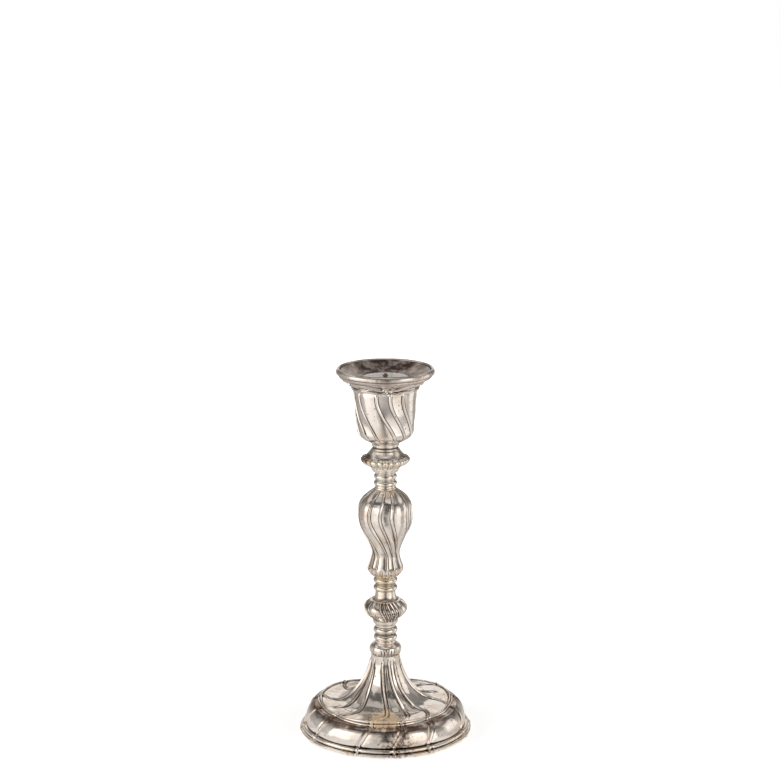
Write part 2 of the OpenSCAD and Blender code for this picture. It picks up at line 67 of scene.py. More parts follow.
# Seams of the stem, from the foot up
WAIST_Z = top("base_shell")
COLLAR_TOP = top("stem_collar")
LOWER_KNOP_Z = bottom("lower_knop")
LOWER_KNOP_TOP = top("lower_knop")
BALUSTER_Z = bottom("baluster")
BALUSTER_TOP = top("baluster")
UPPER_KNOP_Z = bottom("upper_knop")
NECK_Z = top("upper_knop")
CUP_Z = bottom("socket_cup")
BORDER_Z = bottom("cup_border")
PAN_Z = bottom("nozzle_pan")
PAN_TOP = top("nozzle_pan")
FLANGE_TOP = top("nozzle_tube")
TUBE_Z = bottom("nozzle_tube")

# Radii that the pieces of the stem share
BORE_R = 2.7
SEAM_R = 4.83
WAIST_R = 6.9
NECK_R = 7.0

# Ribs stand in groups of three, with two narrow panels and one wide panel in each group, in degrees
GROUP = 90
NARROW = 25.5
WIDE = GROUP - 2 * NARROW

# Steps round a ribbed piece, at which every rib and half panel falls on a step
RIBBED_STEPS = 480

# Spacing of an outline's points, where it is seen and where it is hidden
FINE = 0.4
COARSE = 2.5
MERGE = 0.002 * MM
AXIS = {"cent": (0, 0, 0), "axis": (0, 0, 1)}


class Value:
    """An output socket. Arithmetic with it adds Math nodes to its tree."""

    def __init__(self, finish, socket):
        self.finish = finish
        self.socket = socket

    def math(self, operation, first, second):
        return self.finish.add("Math", {0: first, 1: second}, operation=operation)

    def __add__(self, other):
        return self.math("ADD", self, other)

    __radd__ = __add__

    def __sub__(self, other):
        return self.math("SUBTRACT", self, other)

    def __rsub__(self, other):
        return self.math("SUBTRACT", other, self)

    def __mul__(self, other):
        return self.math("MULTIPLY", self, other)

    __rmul__ = __mul__

    def most(self, other):
        return self.math("MAXIMUM", self, other)

    def between(self, low, high):
        """0 below low, 1 above high and a soft step between them."""
        sockets = {"Value": self, "From Min": low, "From Max": high}
        return self.finish.add("MapRange", sockets, interpolation_type="SMOOTHSTEP")


class Finish:
    """The node tree of a material or of the world."""

    def __init__(self, owner):
        self.owner = owner
        owner.use_nodes = True
        self.tree = owner.node_tree
        self.tree.nodes.clear()

    def add(self, kind, sockets=None, out=0, **settings):
        """A node with its settings, then the values or links of its sockets, as the Value of one output."""
        node = self.tree.nodes.new("ShaderNode" + kind)
        for name, value in settings.items():
            setattr(node, name, value)
        for name, value in (sockets or {}).items():
            if isinstance(value, Value):
                self.tree.links.new(value.socket, node.inputs[name])
            else:
                node.inputs[name].default_value = value
        return Value(self, node.outputs[out]) if node.outputs else node

    def blend(self, share, first, second):
        """A colour between two colours."""
        return self.add("Mix", {0: share, 6: first, 7: second}, out=2, data_type="RGBA")

    def place(self):
        return self.add("TexCoord", out="Object")

    def stretched(self, place, scale, turn=(0, 0, 0)):
        """Coordinates scaled, and turned, per axis."""
        return self.add("Mapping", {"Vector": place, "Rotation": turn, "Scale": scale})

    def grain(self, place, size, detail=3.0, rough=0.55):
        """Noise whose features are about that many millimetres wide."""
        sockets = {"Vector": place, "Scale": 1 / (size * MM), "Detail": detail, "Roughness": rough}
        return self.add("TexNoise", sockets, out="Fac")

    def spots(self, place, size, share):
        """Round spots in a share of the cells, each cell about that many millimetres wide."""
        sockets = {"Vector": place, "Scale": 1 / (size * MM)}
        cells = self.add("TexVoronoi", sockets, out="Distance")
        chance = self.add("TexVoronoi", sockets, out="Color")
        picked = self.add("SeparateColor", {"Color": chance}).between(1 - share, 1 - share / 2)
        return (1 - cells.between(0.12, 0.34)) * picked

    def layer(self, name):
        """Value of one of the piece's attributes."""
        return self.add("Attribute", out="Fac", attribute_name=name)

    def surface(self, sockets, height, strength, depth):
        """The finished material, with bumps of a height, as deep as that many millimetres."""
        bumps = {"Strength": strength, "Distance": depth * MM, "Height": height}
        normal = self.add("Bump", bumps, out="Normal")
        return self.shown(self.add("BsdfPrincipled", {**sockets, "Normal": normal}))

    def shown(self, shader):
        """The material with that shader."""
        self.add("OutputMaterial", {"Surface": shader})
        return self.owner


def new_finish(name):
    return Finish(bpy.data.materials.new(name))


def rgb(red, green, blue):
    return (red, green, blue, 1.0)


# Colours of the metal
FRESH_SILVER = rgb(0.90, 0.86, 0.815)
WARM_SILVER = rgb(0.77, 0.675, 0.585)
BRASS = rgb(0.86, 0.64, 0.38)
GILT = rgb(0.84, 0.73, 0.50)
RUBBED_GOLD = rgb(0.98, 0.74, 0.49)
CREASE_DIRT = rgb(0.055, 0.038, 0.028)
# Brown of tarnish, and of painted shade under the foot's ledge and at the upper knop's sides
BROWN_TARNISH_AND_SHADE = rgb(0.27, 0.195, 0.155)
# Colours of the pan's dish, also painted on the pin hole's edge as its shade
DISH_TARNISH = rgb(0.13, 0.080, 0.072)
DISH_BLOOM = rgb(0.78, 0.68, 0.625)
WAX_BLOOM = rgb(0.94, 0.91, 0.87)

# Marks on the foot's front, rubbed to the brass or brown: their middles and the distances between which
# they fade, in metres
GOLD_AT = (-0.0006, -0.0275, 0.0155)
GOLD_FADE = (0.006, 0.0085)
GOLD_RAGS = 0.008
BROWN_AT = (0.006, -0.0375, 0.0065)
BROWN_FADE = (0.004, 0.012)

# Strength of the plate's small dents, and their depth in millimetres
DENTS = (0.35, 0.6)


def rubbed_gold(f, place):
    """Ragged patch of flakes on the front of the foot."""
    offset = f.add("VectorMath", {0: place, 1: GOLD_AT}, operation="SUBTRACT")
    squashed = f.stretched(offset, (1, 0.8, 1))
    away = f.add("VectorMath", {0: squashed}, out="Value", operation="LENGTH")
    flakes = f.grain(f.stretched(place, (1, 0.6, 0.6)), 1.5).between(0.34, 0.46)
    ragged = away + GOLD_RAGS * (f.grain(place, 3, detail=2) - 0.5)
    return (1 - ragged.between(*GOLD_FADE)) * flakes


def brown_spot(f, place):
    """Mottled spot on the front of the skirt."""
    away = f.add("VectorMath", {0: place, 1: BROWN_AT}, out="Value", operation="DISTANCE")
    mottle = f.grain(place, 1.5, detail=4).between(0.45, 0.6)
    return (1 - away.between(*BROWN_FADE)) * mottle


def silver_plate(name, warm, brass, gilt=0.0, satin=0.0, front_marks=False):
    """Worn plate: tarnish in the creases, brass where the ridges are rubbed, pits and small dents.

    A brown layer paints shade under the foot's ledge, partly tarnish there, and shade at the upper knop's two
    sides. The foot's plate has the marks of its front too."""
    f = new_finish(name)
    place = f.place()
    hollow = f.layer("hollow")
    patches = f.grain(place, 14)
    clouds = f.grain(place, 3.5, detail=5)
    pits = f.spots(place, 1.6, 0.16)
    crease = hollow.between(0.025, 0.24) * (0.6 + 0.6 * clouds)
    ridges = (0 - hollow).between(0.08, 0.4)
    stain = (patches + 0.35 * clouds).between(0.85 - 0.5 * warm, 1.1 - 0.35 * warm)
    rubbed = ridges * clouds.between(0.5, 0.62) * brass
    streaked = patches.between(0.32, 0.56) * (0.45 + 0.9 * clouds)
    colour = f.blend(stain, FRESH_SILVER, WARM_SILVER)
    colour = f.blend(patches.between(0.35, 0.6) * gilt, colour, GILT)
    if front_marks:
        colour = f.blend(brown_spot(f, place), colour, BROWN_TARNISH_AND_SHADE)
    # Painted shade, brown: under the foot's ledge, where it is partly tarnish, and at the upper knop's two
    # sides
    colour = f.blend(f.layer("stain_and_shade") * streaked, colour, BROWN_TARNISH_AND_SHADE)
    colour = f.blend(rubbed, colour, BRASS)
    metallic = 1.0
    if front_marks:
        gold = rubbed_gold(f, place)
        colour = f.blend(gold, colour, RUBBED_GOLD)
        metallic = 1 - 0.7 * gold
    colour = f.blend(crease.most(0.7 * pits), colour, CREASE_DIRT)
    scratches = f.grain(f.stretched(place, (1, 1, 0.12), (0.5, 0.2, 0.3)), 0.35, detail=2)
    rough = 0.07 + satin + 0.08 * stain + 0.3 * crease.most(rubbed) + 0.08 * scratches
    dents = f.grain(place, 6, detail=1.5) + 0.2 * clouds - 0.25 * pits + 0.03 * scratches
    return f.surface({"Base Color": colour, "Metallic": metallic, "Roughness": rough}, dents, *DENTS)


def tarnished_plate(name):
    """Plate that is dark where the soot layer is 1, waxy where wax is 1, and bright elsewhere. The soot layer
    also carries painted shade and painted light.
    """
    f = new_finish(name)
    place = f.place()
    soot_and_painted_shading = f.layer("soot_and_painted_shading")
    streaks = f.grain(f.stretched(place, (1, 1, 0.15)), 1.2)
    wax = f.layer("wax") * streaks.between(0.25, 0.5)
    patches = f.grain(place, 6, detail=4)
    clouds = f.grain(place, 1.8, detail=5)
    spots = f.spots(place, 3.0, 0.35)
    crease = f.layer("hollow").between(0.04, 0.28) * (0.6 + 0.6 * clouds)
    bright = f.blend(patches.between(0.4, 0.65), FRESH_SILVER, WARM_SILVER)
    dull = f.blend((patches + 0.4 * clouds).between(0.62, 0.86), DISH_TARNISH, DISH_BLOOM)
    dull = f.blend(spots * 0.8, dull, CREASE_DIRT)
    colour = f.blend(soot_and_painted_shading * (0.75 + 0.5 * clouds), bright, dull)
    colour = f.blend(wax, colour, WAX_BLOOM)
    colour = f.blend(crease, colour, CREASE_DIRT)
    rough = 0.15 + 0.16 * soot_and_painted_shading + 0.3 * wax + 0.12 * clouds + 0.2 * crease
    dents = f.grain(place, 5, detail=1.5) + 0.25 * clouds - 0.2 * spots
    return f.surface({"Base Color": colour, "Metallic": 1 - wax, "Roughness": rough}, dents, *DENTS)


def tool_steel():
    """Turned steel of the rod, nuts and washers, with a dull zinc bloom."""
    f = new_finish("tool_steel")
    place = f.place()
    bloom = f.grain(place, 2.5, detail=4)
    turning = f.grain(f.stretched(place, (0.15, 0.15, 1)), 0.3, detail=2)
    colour = f.blend(bloom.between(0.35, 0.7), rgb(0.52, 0.53, 0.55), rgb(0.36, 0.35, 0.33))
    looks = {"Base Color": colour, "Metallic": 1.0, "Roughness": 0.28 + 0.2 * bloom}
    return f.surface(looks, turning + 0.6 * bloom, strength=0.3, depth=0.1)


def plate_steel():
    """Dull rolled sheet that closes the foot."""
    f = new_finish("plate_steel")
    place = f.place()
    rolling = f.grain(f.stretched(place, (0.08, 1, 1)), 0.5)
    rust = f.grain(place, 7, detail=6).between(0.52, 0.7)
    colour = f.blend(rust, rgb(0.42, 0.41, 0.39), rgb(0.24, 0.13, 0.07))
    looks = {"Base Color": colour, "Metallic": 1 - 0.8 * rust, "Roughness": 0.35 + 0.4 * rust}
    return f.surface(looks, rolling + rust, strength=0.3, depth=0.1)


def cast_plaster():
    """Porous plaster poured into the foot."""
    f = new_finish("cast_plaster")
    place = f.place()
    clouds = f.grain(place, 8, detail=6)
    pores = f.spots(place, 1.2, 0.5)
    colour = f.blend(clouds, rgb(0.80, 0.77, 0.70), rgb(0.66, 0.62, 0.54))
    return f.surface({"Base Color": colour, "Roughness": 0.85}, clouds - 0.8 * pores, strength=0.5, depth=0.3)


def green_felt():
    """Pressed wool felt, matted, with lighter fibres."""
    f = new_finish("green_felt")
    place = f.place()
    mat = f.grain(place, 1.4, detail=8, rough=0.75)
    fibres = f.grain(f.stretched(place, (1, 0.1, 1), (0, 0, 0.7)), 0.25, detail=4)
    worn = f.grain(place, 16).between(0.45, 0.75)
    colour = f.blend(mat.between(0.3, 0.7), rgb(0.012, 0.035, 0.018), rgb(0.045, 0.095, 0.05))
    colour = f.blend(worn * 0.5, colour, rgb(0.10, 0.12, 0.08))
    looks = {"Base Color": colour, "Roughness": 0.95, "Sheen Weight": 0.4, "Sheen Roughness": 0.5}
    return f.surface(looks, mat + 0.5 * fibres, strength=0.8, depth=0.4)


def bend(t, power):
    """Share of the way to the next radius: 0 is an even S, above 0 turns late, below 0 turns early."""
    if power == 0:
        return (1 - cos(pi * t)) / 2
    return t**power if power > 0 else 1 - (1 - t) ** -power


def full_key(r, z, power=1, share=0):
    """A key of an outline: radius, height, bend on the way to it and share of the ornament."""
    return r, z, power, share


def outline(keys, spacing=FINE):
    """Points (radius, height, share of the ornament) through the keys."""
    keys = [full_key(*key) for key in keys]
    points = [(keys[0][0], keys[0][1], keys[0][3])]
    for (r0, z0, _, s0), (r1, z1, power, s1) in zip(keys, keys[1:]):
        steps = max(1, round(hypot(r1 - r0, z1 - z0) / spacing))
        for i in range(1, steps + 1):
            t = i / steps
            points.append((r0 + (r1 - r0) * bend(t, power), z0 + (z1 - z0) * t, s0 + (s1 - s0) * t))
    return points


def quarter(r_mid, z_mid, r_half, z_half, start, end, spacing, share, slack=1):
    """Points along an ellipse around (r_mid, z_mid), between two angles in degrees up to 90.

    A slack above 1 flattens the curve towards its chord."""
    length = radians(abs(end - start)) * (abs(r_half) + abs(z_half)) / 2
    steps = max(2, round(length / spacing))
    points = []
    for i in range(steps + 1):
        angle = radians(start + (end - start) * i / steps)
        r = r_mid + r_half * abs(cos(angle)) ** slack
        z = z_mid + z_half * abs(sin(angle)) ** slack
        points.append((r, z, share))
    return points


def spun(points, steps, closed=True):
    """The outline turned round the stem's axis, with each point's share of the ornament in a layer.

    An eighth is spun and doubled three times, so the steps are a multiple of eight."""
    bm = bmesh.new()
    shares = bm.verts.layers.float.new("share")
    row = []
    for r, z, share in points:
        vert = bm.verts.new((r * MM, 0, z * MM))
        vert[shares] = share
        row.append(vert)
    edges = [bm.edges.new(pair) for pair in zip(row, row[1:])]
    if closed:
        edges.append(bm.edges.new((row[-1], row[0])))
    bmesh.ops.spin(bm, geom=row + edges, angle=pi / 4, steps=steps // 8, **AXIS)
    for turn in (pi / 4, pi / 2, pi):
        copy = bmesh.ops.duplicate(bm, geom=bm.verts[:] + bm.edges[:] + bm.faces[:])["geom"]
        moved = [part for part in copy if isinstance(part, bmesh.types.BMVert)]
        bmesh.ops.rotate(bm, verts=moved, cent=(0, 0, 0), matrix=Matrix.Rotation(turn, 3, "Z"))
    bmesh.ops.remove_doubles(bm, verts=bm.verts, dist=MERGE)
    bmesh.ops.recalc_face_normals(bm, faces=bm.faces)
    return bm


def around(vert):
    """Angle from the front towards +X in degrees, radius and height of a vertex."""
    angle = degrees(atan2(vert.co.x, -vert.co.y))
    return angle, hypot(vert.co.x, vert.co.y) / MM, vert.co.z / MM


def marked(bm, name, share):
    """A new layer with share(angle, radius, height) at each vertex."""
    layer = bm.verts.layers.float.new(name)
    for vert in bm.verts:
        vert[layer] = share(*around(vert))
    return layer


def drawn_in(bm, inset, drop=None):
    """Moves ornamented vertices inwards by inset(angle, radius, height), and down by drop of the same."""
    shares = bm.verts.layers.float["share"]
    for vert in bm.verts:
        if vert[shares] > 0:
            place = around(vert)
            scale = 1 - vert[shares] * inset(*place) / place[1]
            vert.co.x *= scale
            vert.co.y *= scale
            if drop is not None:
                vert.co.z -= vert[shares] * drop(*place) * MM


def carved(bm, relief, turn=None):
    """Moves each vertex along its normal by its share of relief(angle, radius, height).

    Ribs then follow turn(angle, radius, height), by which the surface turns round the axis in degrees."""
    bm.normal_update()
    shares = bm.verts.layers.float["share"]
    places = [around(vert) for vert in bm.verts]
    for vert, place in zip(bm.verts, places):
        if vert[shares] > 0:
            vert.co += vert.normal * vert[shares] * relief(*place) * MM
        if turn is not None:
            vert.co.rotate(Matrix.Rotation(radians(turn(*place)), 3, "Z"))


def mark_hollows(mesh, reach=0.5 * MM, passes=3):
    """Attribute hollow: above 0 in creases, below 0 on ridges, 1 where the surface bends within the reach."""
    count = len(mesh.vertices)
    places = np.empty(count * 3)
    normals = np.empty(count * 3)
    ends = np.empty(len(mesh.edges) * 2, dtype=np.int64)
    mesh.vertices.foreach_get("co", places)
    mesh.vertices.foreach_get("normal", normals)
    mesh.edges.foreach_get("vertices", ends)
    places = places.reshape(-1, 3)
    normals = normals.reshape(-1, 3)
    a, b = ends.reshape(-1, 2).T
    along = places[b] - places[a]
    length = np.maximum((along**2).sum(1), 1e-12)
    number = np.bincount(a, minlength=count) + np.bincount(b, minlength=count)
    bend_a = (along * normals[a]).sum(1) / length
    bend_b = -(along * normals[b]).sum(1) / length
    total = np.bincount(a, bend_a, count) + np.bincount(b, bend_b, count)
    hollow = np.clip(2 * total / number * reach, -1, 1)
    for _ in range(passes):
        near = np.bincount(a, hollow[b], count) + np.bincount(b, hollow[a], count)
        hollow = 0.5 * hollow + 0.5 * near / number
    layer = mesh.attributes.new("hollow", "FLOAT", "POINT")
    layer.data.foreach_set("value", hollow.astype(np.float32))


# Edges that turn more than this stay sharp
SHARP_TURN = radians(48)


def new_object(name, bm, material):
    """An object of the scene."""
    mesh = bpy.data.meshes.new(name)
    bm.to_mesh(mesh)
    bm.free()
    mesh.materials.append(material)
    thing = bpy.data.objects.new(name, mesh)
    bpy.context.scene.collection.objects.link(thing)
    return thing


def piece(name, bm, node, material, body="stick"):
    """The finished piece, standing for a CAD node and riding on its body."""
    bm.verts.layers.float.remove(bm.verts.layers.float["share"])
    thing = new_object(name, bm, material)
    thing.data.shade_smooth()
    thing.data.set_sharp_from_angle(angle=SHARP_TURN)
    mark_hollows(thing.data)
    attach(thing, body)
    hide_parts(node)
    return thing


def panel_at(angle, split=1):
    """Share of the way across the panel at an angle, the panel's width and whether it is the wide one."""
    turn = (angle + NARROW) % GROUP
    if turn >= 2 * NARROW:
        return (turn - 2 * NARROW) / WIDE, WIDE, True
    width = NARROW / split
    return turn % width / width, width, False


def rib_gap(angle, r, split=1):
    """Distance to the nearest rib along the surface."""
    share, width, _ = panel_at(angle, split)
    return min(share, 1 - share) * radians(width) * r


def bead(distance, half_width):
    """Half round ridge, 1 high along its middle."""
    return sqrt(max(0, 1 - (distance / half_width) ** 2))


def ridge(distance, half_width):
    """Ridge with a soft foot, 1 high along its middle."""
    return max(0, 1 - (distance / half_width) ** 2) ** 2


def trough(share, power):
    """Hollow across a panel, 1 deep in the middle, with steeper sides for a higher power."""
    return 1 - abs(2 * share - 1) ** power


def fluted(angle, r, rib, rib_half, swell, flute, split=1):
    """Ribs between swelling wide panels and hollow narrow ones."""
    share, _, wide = panel_at(angle, split)
    arch = trough(share, 2.2)
    return rib * ridge(rib_gap(angle, r, split), rib_half) + (swell * arch if wide else -flute * arch)


def lobed(angle, count, height):
    """Round lobes side by side with sharp creases between them."""
    return height * (sqrt(abs(sin(radians(angle * count / 2)))) - 0.6)


def clamp(value):
    return min(1, max(0, value))


def step_down(value, start, end):
    """1 up to the start, 0 beyond the end and an even slope between."""
    return clamp((end - value) / (end - start))


# Foot: steps of the rim, the skirt, the ledge and the trumpet
FOOT_R = radius("base_shell")
RIM_Z = bottom("base_shell")
RIM_STEP_H = 1.7
RIM_EDGE = 0.4
BEAD_H = 2.0
BEAD_R = FOOT_R - 1.1
SKIRT_R = BEAD_R - 2.0
CROWN_R = SKIRT_R - 4.3
CROWN_LOBE = 2.9
LEDGE_R = CROWN_R - 2.2
LEDGE_LOBE = 1.8
FIELD_R = LEDGE_R - 0.6
FLARE_R = LEDGE_R - 8.2
BEAD_Z = RIM_Z + RIM_STEP_H
SKIRT_Z = BEAD_Z + BEAD_H
SKIRT_FOOT = SKIRT_Z + 0.3
CROWN_Z = SKIRT_Z + 9.3
CROWN_UNDERCUT = 0.2
LEDGE_Z = CROWN_Z + 2.2
LEDGE_DIP = 1.0
FIELD_Z = LEDGE_Z - 0.6
FLARE_Z = FIELD_Z - 0.1
FLARE_SLACK = 1.17
SHELL_WALL = 1.6
REBATE_R = radius("base_plate") + 0.1
REBATE_Z = top("felt_pad") + 1.2
RIM_TURN = 6
LEDGE_TURN = 14
FLARE_SWEEP = 14

# How far the third rib of each group lags on the trumpet, from the front group towards +X, in degrees,
# and the radii between which the lag runs out
THIRD_RIB_LAG = (8, 3, 5, 0)
LAG_END = (19, 24)


def foot_points():
    """Outline of the foot: rim, skirt, ledge and trumpet outside, and the hollow inside."""
    rim = outline([
        (REBATE_R, REBATE_Z),
        (REBATE_R, RIM_Z),
        (FOOT_R - RIM_EDGE, RIM_Z),
        (FOOT_R, RIM_Z + RIM_EDGE, -2, 1),
        (FOOT_R, BEAD_Z - RIM_EDGE, 1, 1),
        (FOOT_R - RIM_EDGE, BEAD_Z - 0.1, 2, 1),
        (BEAD_R - 0.8, BEAD_Z, 1, 1),
        (BEAD_R, BEAD_Z + 0.45 * BEAD_H, -2, 1),
        (BEAD_R - 0.5, SKIRT_Z - 0.1, 2, 1),
        (SKIRT_R - 0.75, SKIRT_Z, 1, 1),
    ], 0.33)
    skirt = quarter(CROWN_R, SKIRT_FOOT, SKIRT_R - CROWN_R, CROWN_Z - SKIRT_FOOT, 0, 90, 0.36, 1)
    ledge = outline([
        (CROWN_R, CROWN_Z, 1, 1),
        (CROWN_R - 0.15, CROWN_Z - 0.2, 1, 1),
        (CROWN_R + 0.15, CROWN_Z + 0.5, -2, 1),
        (CROWN_R, CROWN_Z + 0.8, 1, 1),
        (CROWN_R - 1.15, CROWN_Z + 1.0, 2, 1),
        (LEDGE_R + 0.95, LEDGE_Z - 0.65, -2, 1),
        (LEDGE_R + 0.7, LEDGE_Z - 0.12, 1.5, 1),
        (LEDGE_R, LEDGE_Z, 1.5, 1),
        (LEDGE_R - 0.35, FIELD_Z - 0.3, 2, 1),
        (FIELD_R, FIELD_Z, 1, 1),
    ], 0.2)
    field = outline([(FIELD_R, FIELD_Z, 1, 1), (FLARE_R, FLARE_Z, 1, 1)], 0.48)
    flare_h = WAIST_Z - FLARE_Z
    flare = quarter(FLARE_R, WAIST_Z, WAIST_R - FLARE_R, -flare_h, 90, 0, 0.45, 1, FLARE_SLACK)
    bore = outline([(WAIST_R, WAIST_Z), (BORE_R, WAIST_Z), (BORE_R, WAIST_Z - 8)], COARSE)
    inner_reach = FLARE_R - WAIST_R + SHELL_WALL
    hollow = quarter(FLARE_R, WAIST_Z, -inner_reach, -flare_h - SHELL_WALL, 18, 90, COARSE, 0, FLARE_SLACK)
    inner = outline([
        (FLARE_R, FLARE_Z - SHELL_WALL),
        (CROWN_R - CROWN_LOBE - SHELL_WALL, CROWN_Z - SHELL_WALL),
        (SKIRT_R - SHELL_WALL, SKIRT_Z + 1, -2),
        (SKIRT_R - SHELL_WALL, REBATE_Z),
    ], COARSE)
    return rim + skirt[1:] + ledge[1:] + field[1:] + flare[1:] + bore[1:] + hollow + inner[1:]


def skirt_rise(z):
    """Share of the way up the skirt's curve, from its foot to its crown, as an angle's sine."""
    return clamp((z - SKIRT_FOOT) / (CROWN_Z - SKIRT_FOOT))


def foot_turn(angle, r, z):
    """Turn of the foot's ribs from the front at a point of its outline."""
    if r > FIELD_R:
        return RIM_TURN + (LEDGE_TURN - RIM_TURN) * skirt_rise(z)
    way = clamp((FIELD_R - r) / (FIELD_R - WAIST_R))
    group, turn = divmod(angle + NARROW, GROUP)
    turn -= NARROW
    near_third = clamp(1 - abs(turn - NARROW) / (NARROW if turn < NARROW else WIDE))
    lag = THIRD_RIB_LAG[int(group) % 4] * near_third * step_down(r, *LAG_END) * clamp(5 - 5 * way)
    return LEDGE_TURN + FLARE_SWEEP * sin(pi * way**0.9) - lag


# Ribs of the foot, and those of them that run over a cusp of the ledge, from the front in degrees
RIBS = [group * GROUP + side * NARROW for group in range(4) for side in (-1, 0, 1)]
CUSPS = [rib for number, rib in enumerate(RIBS) if number % 4 > 1]


def lobe_at(angle):
    """0 at the ledge's cusps and 1 midway across its wide lobes; narrow lobes bow less."""
    before = min((angle - cusp) % 360 for cusp in CUSPS)
    after = min((cusp - angle) % 360 for cusp in CUSPS)
    width = before + after
    if width == 0:
        return 0
    return sin(pi * before / width) * min(1, width / GROUP) ** 2


def ledge_inset(angle, r, z):
    """How far the field, the ledge and the skirt's crown draw in towards the cusps."""
    short = 1 - lobe_at(angle)
    if r >= CROWN_R and z <= CROWN_Z:
        return CROWN_LOBE * short * (1 - sqrt(1 - skirt_rise(z) ** 2))
    if r > LEDGE_R:
        outer = clamp((r - LEDGE_R) / (CROWN_R - LEDGE_R))
        return (LEDGE_LOBE + (CROWN_LOBE - LEDGE_LOBE) * outer) * short
    return LEDGE_LOBE * short * clamp((r - FLARE_R) / (LEDGE_R - FLARE_R))


def ledge_dip(angle, r, z):
    """How far the ledge's upper edge dips towards the cusps."""
    if z < CROWN_Z:
        return 0
    inner = clamp((r - FLARE_R) / (FIELD_R - FLARE_R))
    outer = step_down(r, LEDGE_R + 0.75, CROWN_R - 0.5)
    return LEDGE_DIP * (1 - lobe_at(angle)) * min(inner, outer)


# Turn of each rib from the first of its group, and the radius at which it ends on the field
RIB_ENDS = ((0, 60), (NARROW, 28), (2 * NARROW, 60), (GROUP, 60))

# Flutes of the trumpet: depth as a share of their chord, and the radii between which they run out
WIDE_FLUTE = 0.07
NARROW_FLUTE = 0.115
FLUTE_END = (18, 25)
FLARE_RIB_H = 0.5
FLARE_RIB_HALF = 0.75

# Grooves beside those ribs: depth as a share of the rib's height, distance and half width
FLARE_GROOVE = 0.8
FLARE_GROOVE_GAP = 0.95
FLARE_GROOVE_HALF = 0.5


def flare_relief(angle, r):
    """Hollow flutes and sharp ribs of the trumpet, which fade out on the field."""
    share, width, wide = panel_at(angle)
    gap = rib_gap(angle, r)
    chord = radians(width) * r
    depth = (WIDE_FLUTE if wide else NARROW_FLUTE) * chord * step_down(r, *FLUTE_END)
    end = min(RIB_ENDS, key=lambda rib: abs((angle + NARROW) % GROUP - rib[0]))[1]
    height = FLARE_RIB_H * step_down(r, end - 3, end)
    groove_fade = clamp((r - 7.5) / 1.5)
    groove = FLARE_GROOVE * height * groove_fade * ridge(gap - FLARE_GROOVE_GAP, FLARE_GROOVE_HALF)
    waist_fade = clamp((r - WAIST_R) / 0.5)
    return waist_fade * (height * ridge(gap, FLARE_RIB_HALF) - groove - depth * trough(share, 3))


# Ribs of the foot: height, then the depth, distance and half width of the groove on either side
RIB_HALF = 0.8
RIM_RIB = (0.28, 0.42, 1.25, 0.6)
LEDGE_RIB = (0.35, 0.3, 1.1, 0.5)
SKIRT_RIB = (0.5, 0.35, 1.2, 0.55)
WIDE_PILLOW = 0.75
NARROW_PILLOW = 0.5


def grooved_rib(gap, height, depth, distance, half_width):
    """Half round rib between two grooves."""
    return height * bead(gap, RIB_HALF) - depth * ridge(gap - distance, half_width)


def foot_relief(angle, r, z):
    """Ribs, pillowed panels and flutes of the foot."""
    gap = rib_gap(angle, r)
    if z < SKIRT_Z:
        return grooved_rib(gap, *RIM_RIB)
    if r <= FIELD_R:
        return flare_relief(angle, r)
    if r < CROWN_R - CROWN_UNDERCUT:
        return grooved_rib(gap, *LEDGE_RIB)
    share, _, wide = panel_at(angle)
    pillow = sqrt(sin(pi * share)) * sqrt(1 - skirt_rise(z) ** 2)
    return (WIDE_PILLOW if wide else NARROW_PILLOW) * pillow + grooved_rib(gap, *SKIRT_RIB)


# Brown under the ledge, painted shade and partly tarnish: strength, and its start and growth as shares of the
# skirt's rise
FOOT_SHADE_AND_STAIN = 1.15
FOOT_SHADE_START = 0.62
FOOT_SHADE_FADE = 0.25


def foot_shade_and_stain(angle, r, z):
    """Brown of the skirt under the ledge: painted shade, partly tarnish."""
    if r < CROWN_R - CROWN_UNDERCUT or z > CROWN_Z:
        return 0
    return FOOT_SHADE_AND_STAIN * clamp((skirt_rise(z) - FOOT_SHADE_START) / FOOT_SHADE_FADE)


def ribbed_foot(material):
    """Foot with ribs and pillowed panels, painted brown under its ledge as shade and partly tarnish."""
    bm = spun(foot_points(), RIBBED_STEPS)
    marked(bm, "stain_and_shade", foot_shade_and_stain)
    drawn_in(bm, ledge_inset, ledge_dip)
    carved(bm, foot_relief, foot_turn)
    return piece("ribbed_foot", bm, "base_shell", material)


def threaded(keys, steps):
    """A piece of the stem: its outline from the lower to the upper seam, bored for the tie rod."""
    bore = [(BORE_R, keys[-1][1], 0), (BORE_R, keys[0][1], 0)]
    return spun(outline(keys) + bore, steps)


STEM_STEPS = 240
COLLAR_TURN = 10
RING_FLAT = 0.15


def tongued_collar(material):
    """Collar above the trumpet, with short tongues under its widest line."""
    low = WAIST_Z
    keys = [
        (WAIST_R - 0.2, low),
        (WAIST_R + 0.15, low + 0.35, -2, 0.4),
        (7.6, low + 2.6, -1.6, 1),
        (7.5, low + 3.6, 2),
        (6.1, low + 5.2, 1.7),
        (SEAM_R, COLLAR_TOP, -1.6),
    ]
    bm = threaded(keys, RIBBED_STEPS)

    def tongues(angle, r, z):
        return fluted(angle, r, -0.45, 0.5, 0.1, -0.25, split=2)

    carved(bm, tongues, lambda angle, r, z: COLLAR_TURN)
    return piece("tongued_collar", bm, "stem_collar", material)


# Rings of the spools: height above the lower seam, radius and half height
LOWER_RINGS = ((2.4, 5.75, 1.5), (6.2, 5.9, 1.6))
MIDDLE_RINGS = ((2.3, 5.85, 1.4), (6.1, 5.85, 1.4))
UPPER_RINGS = ((1.9, 5.6, 1.2), (5.2, 5.5, 1.2))


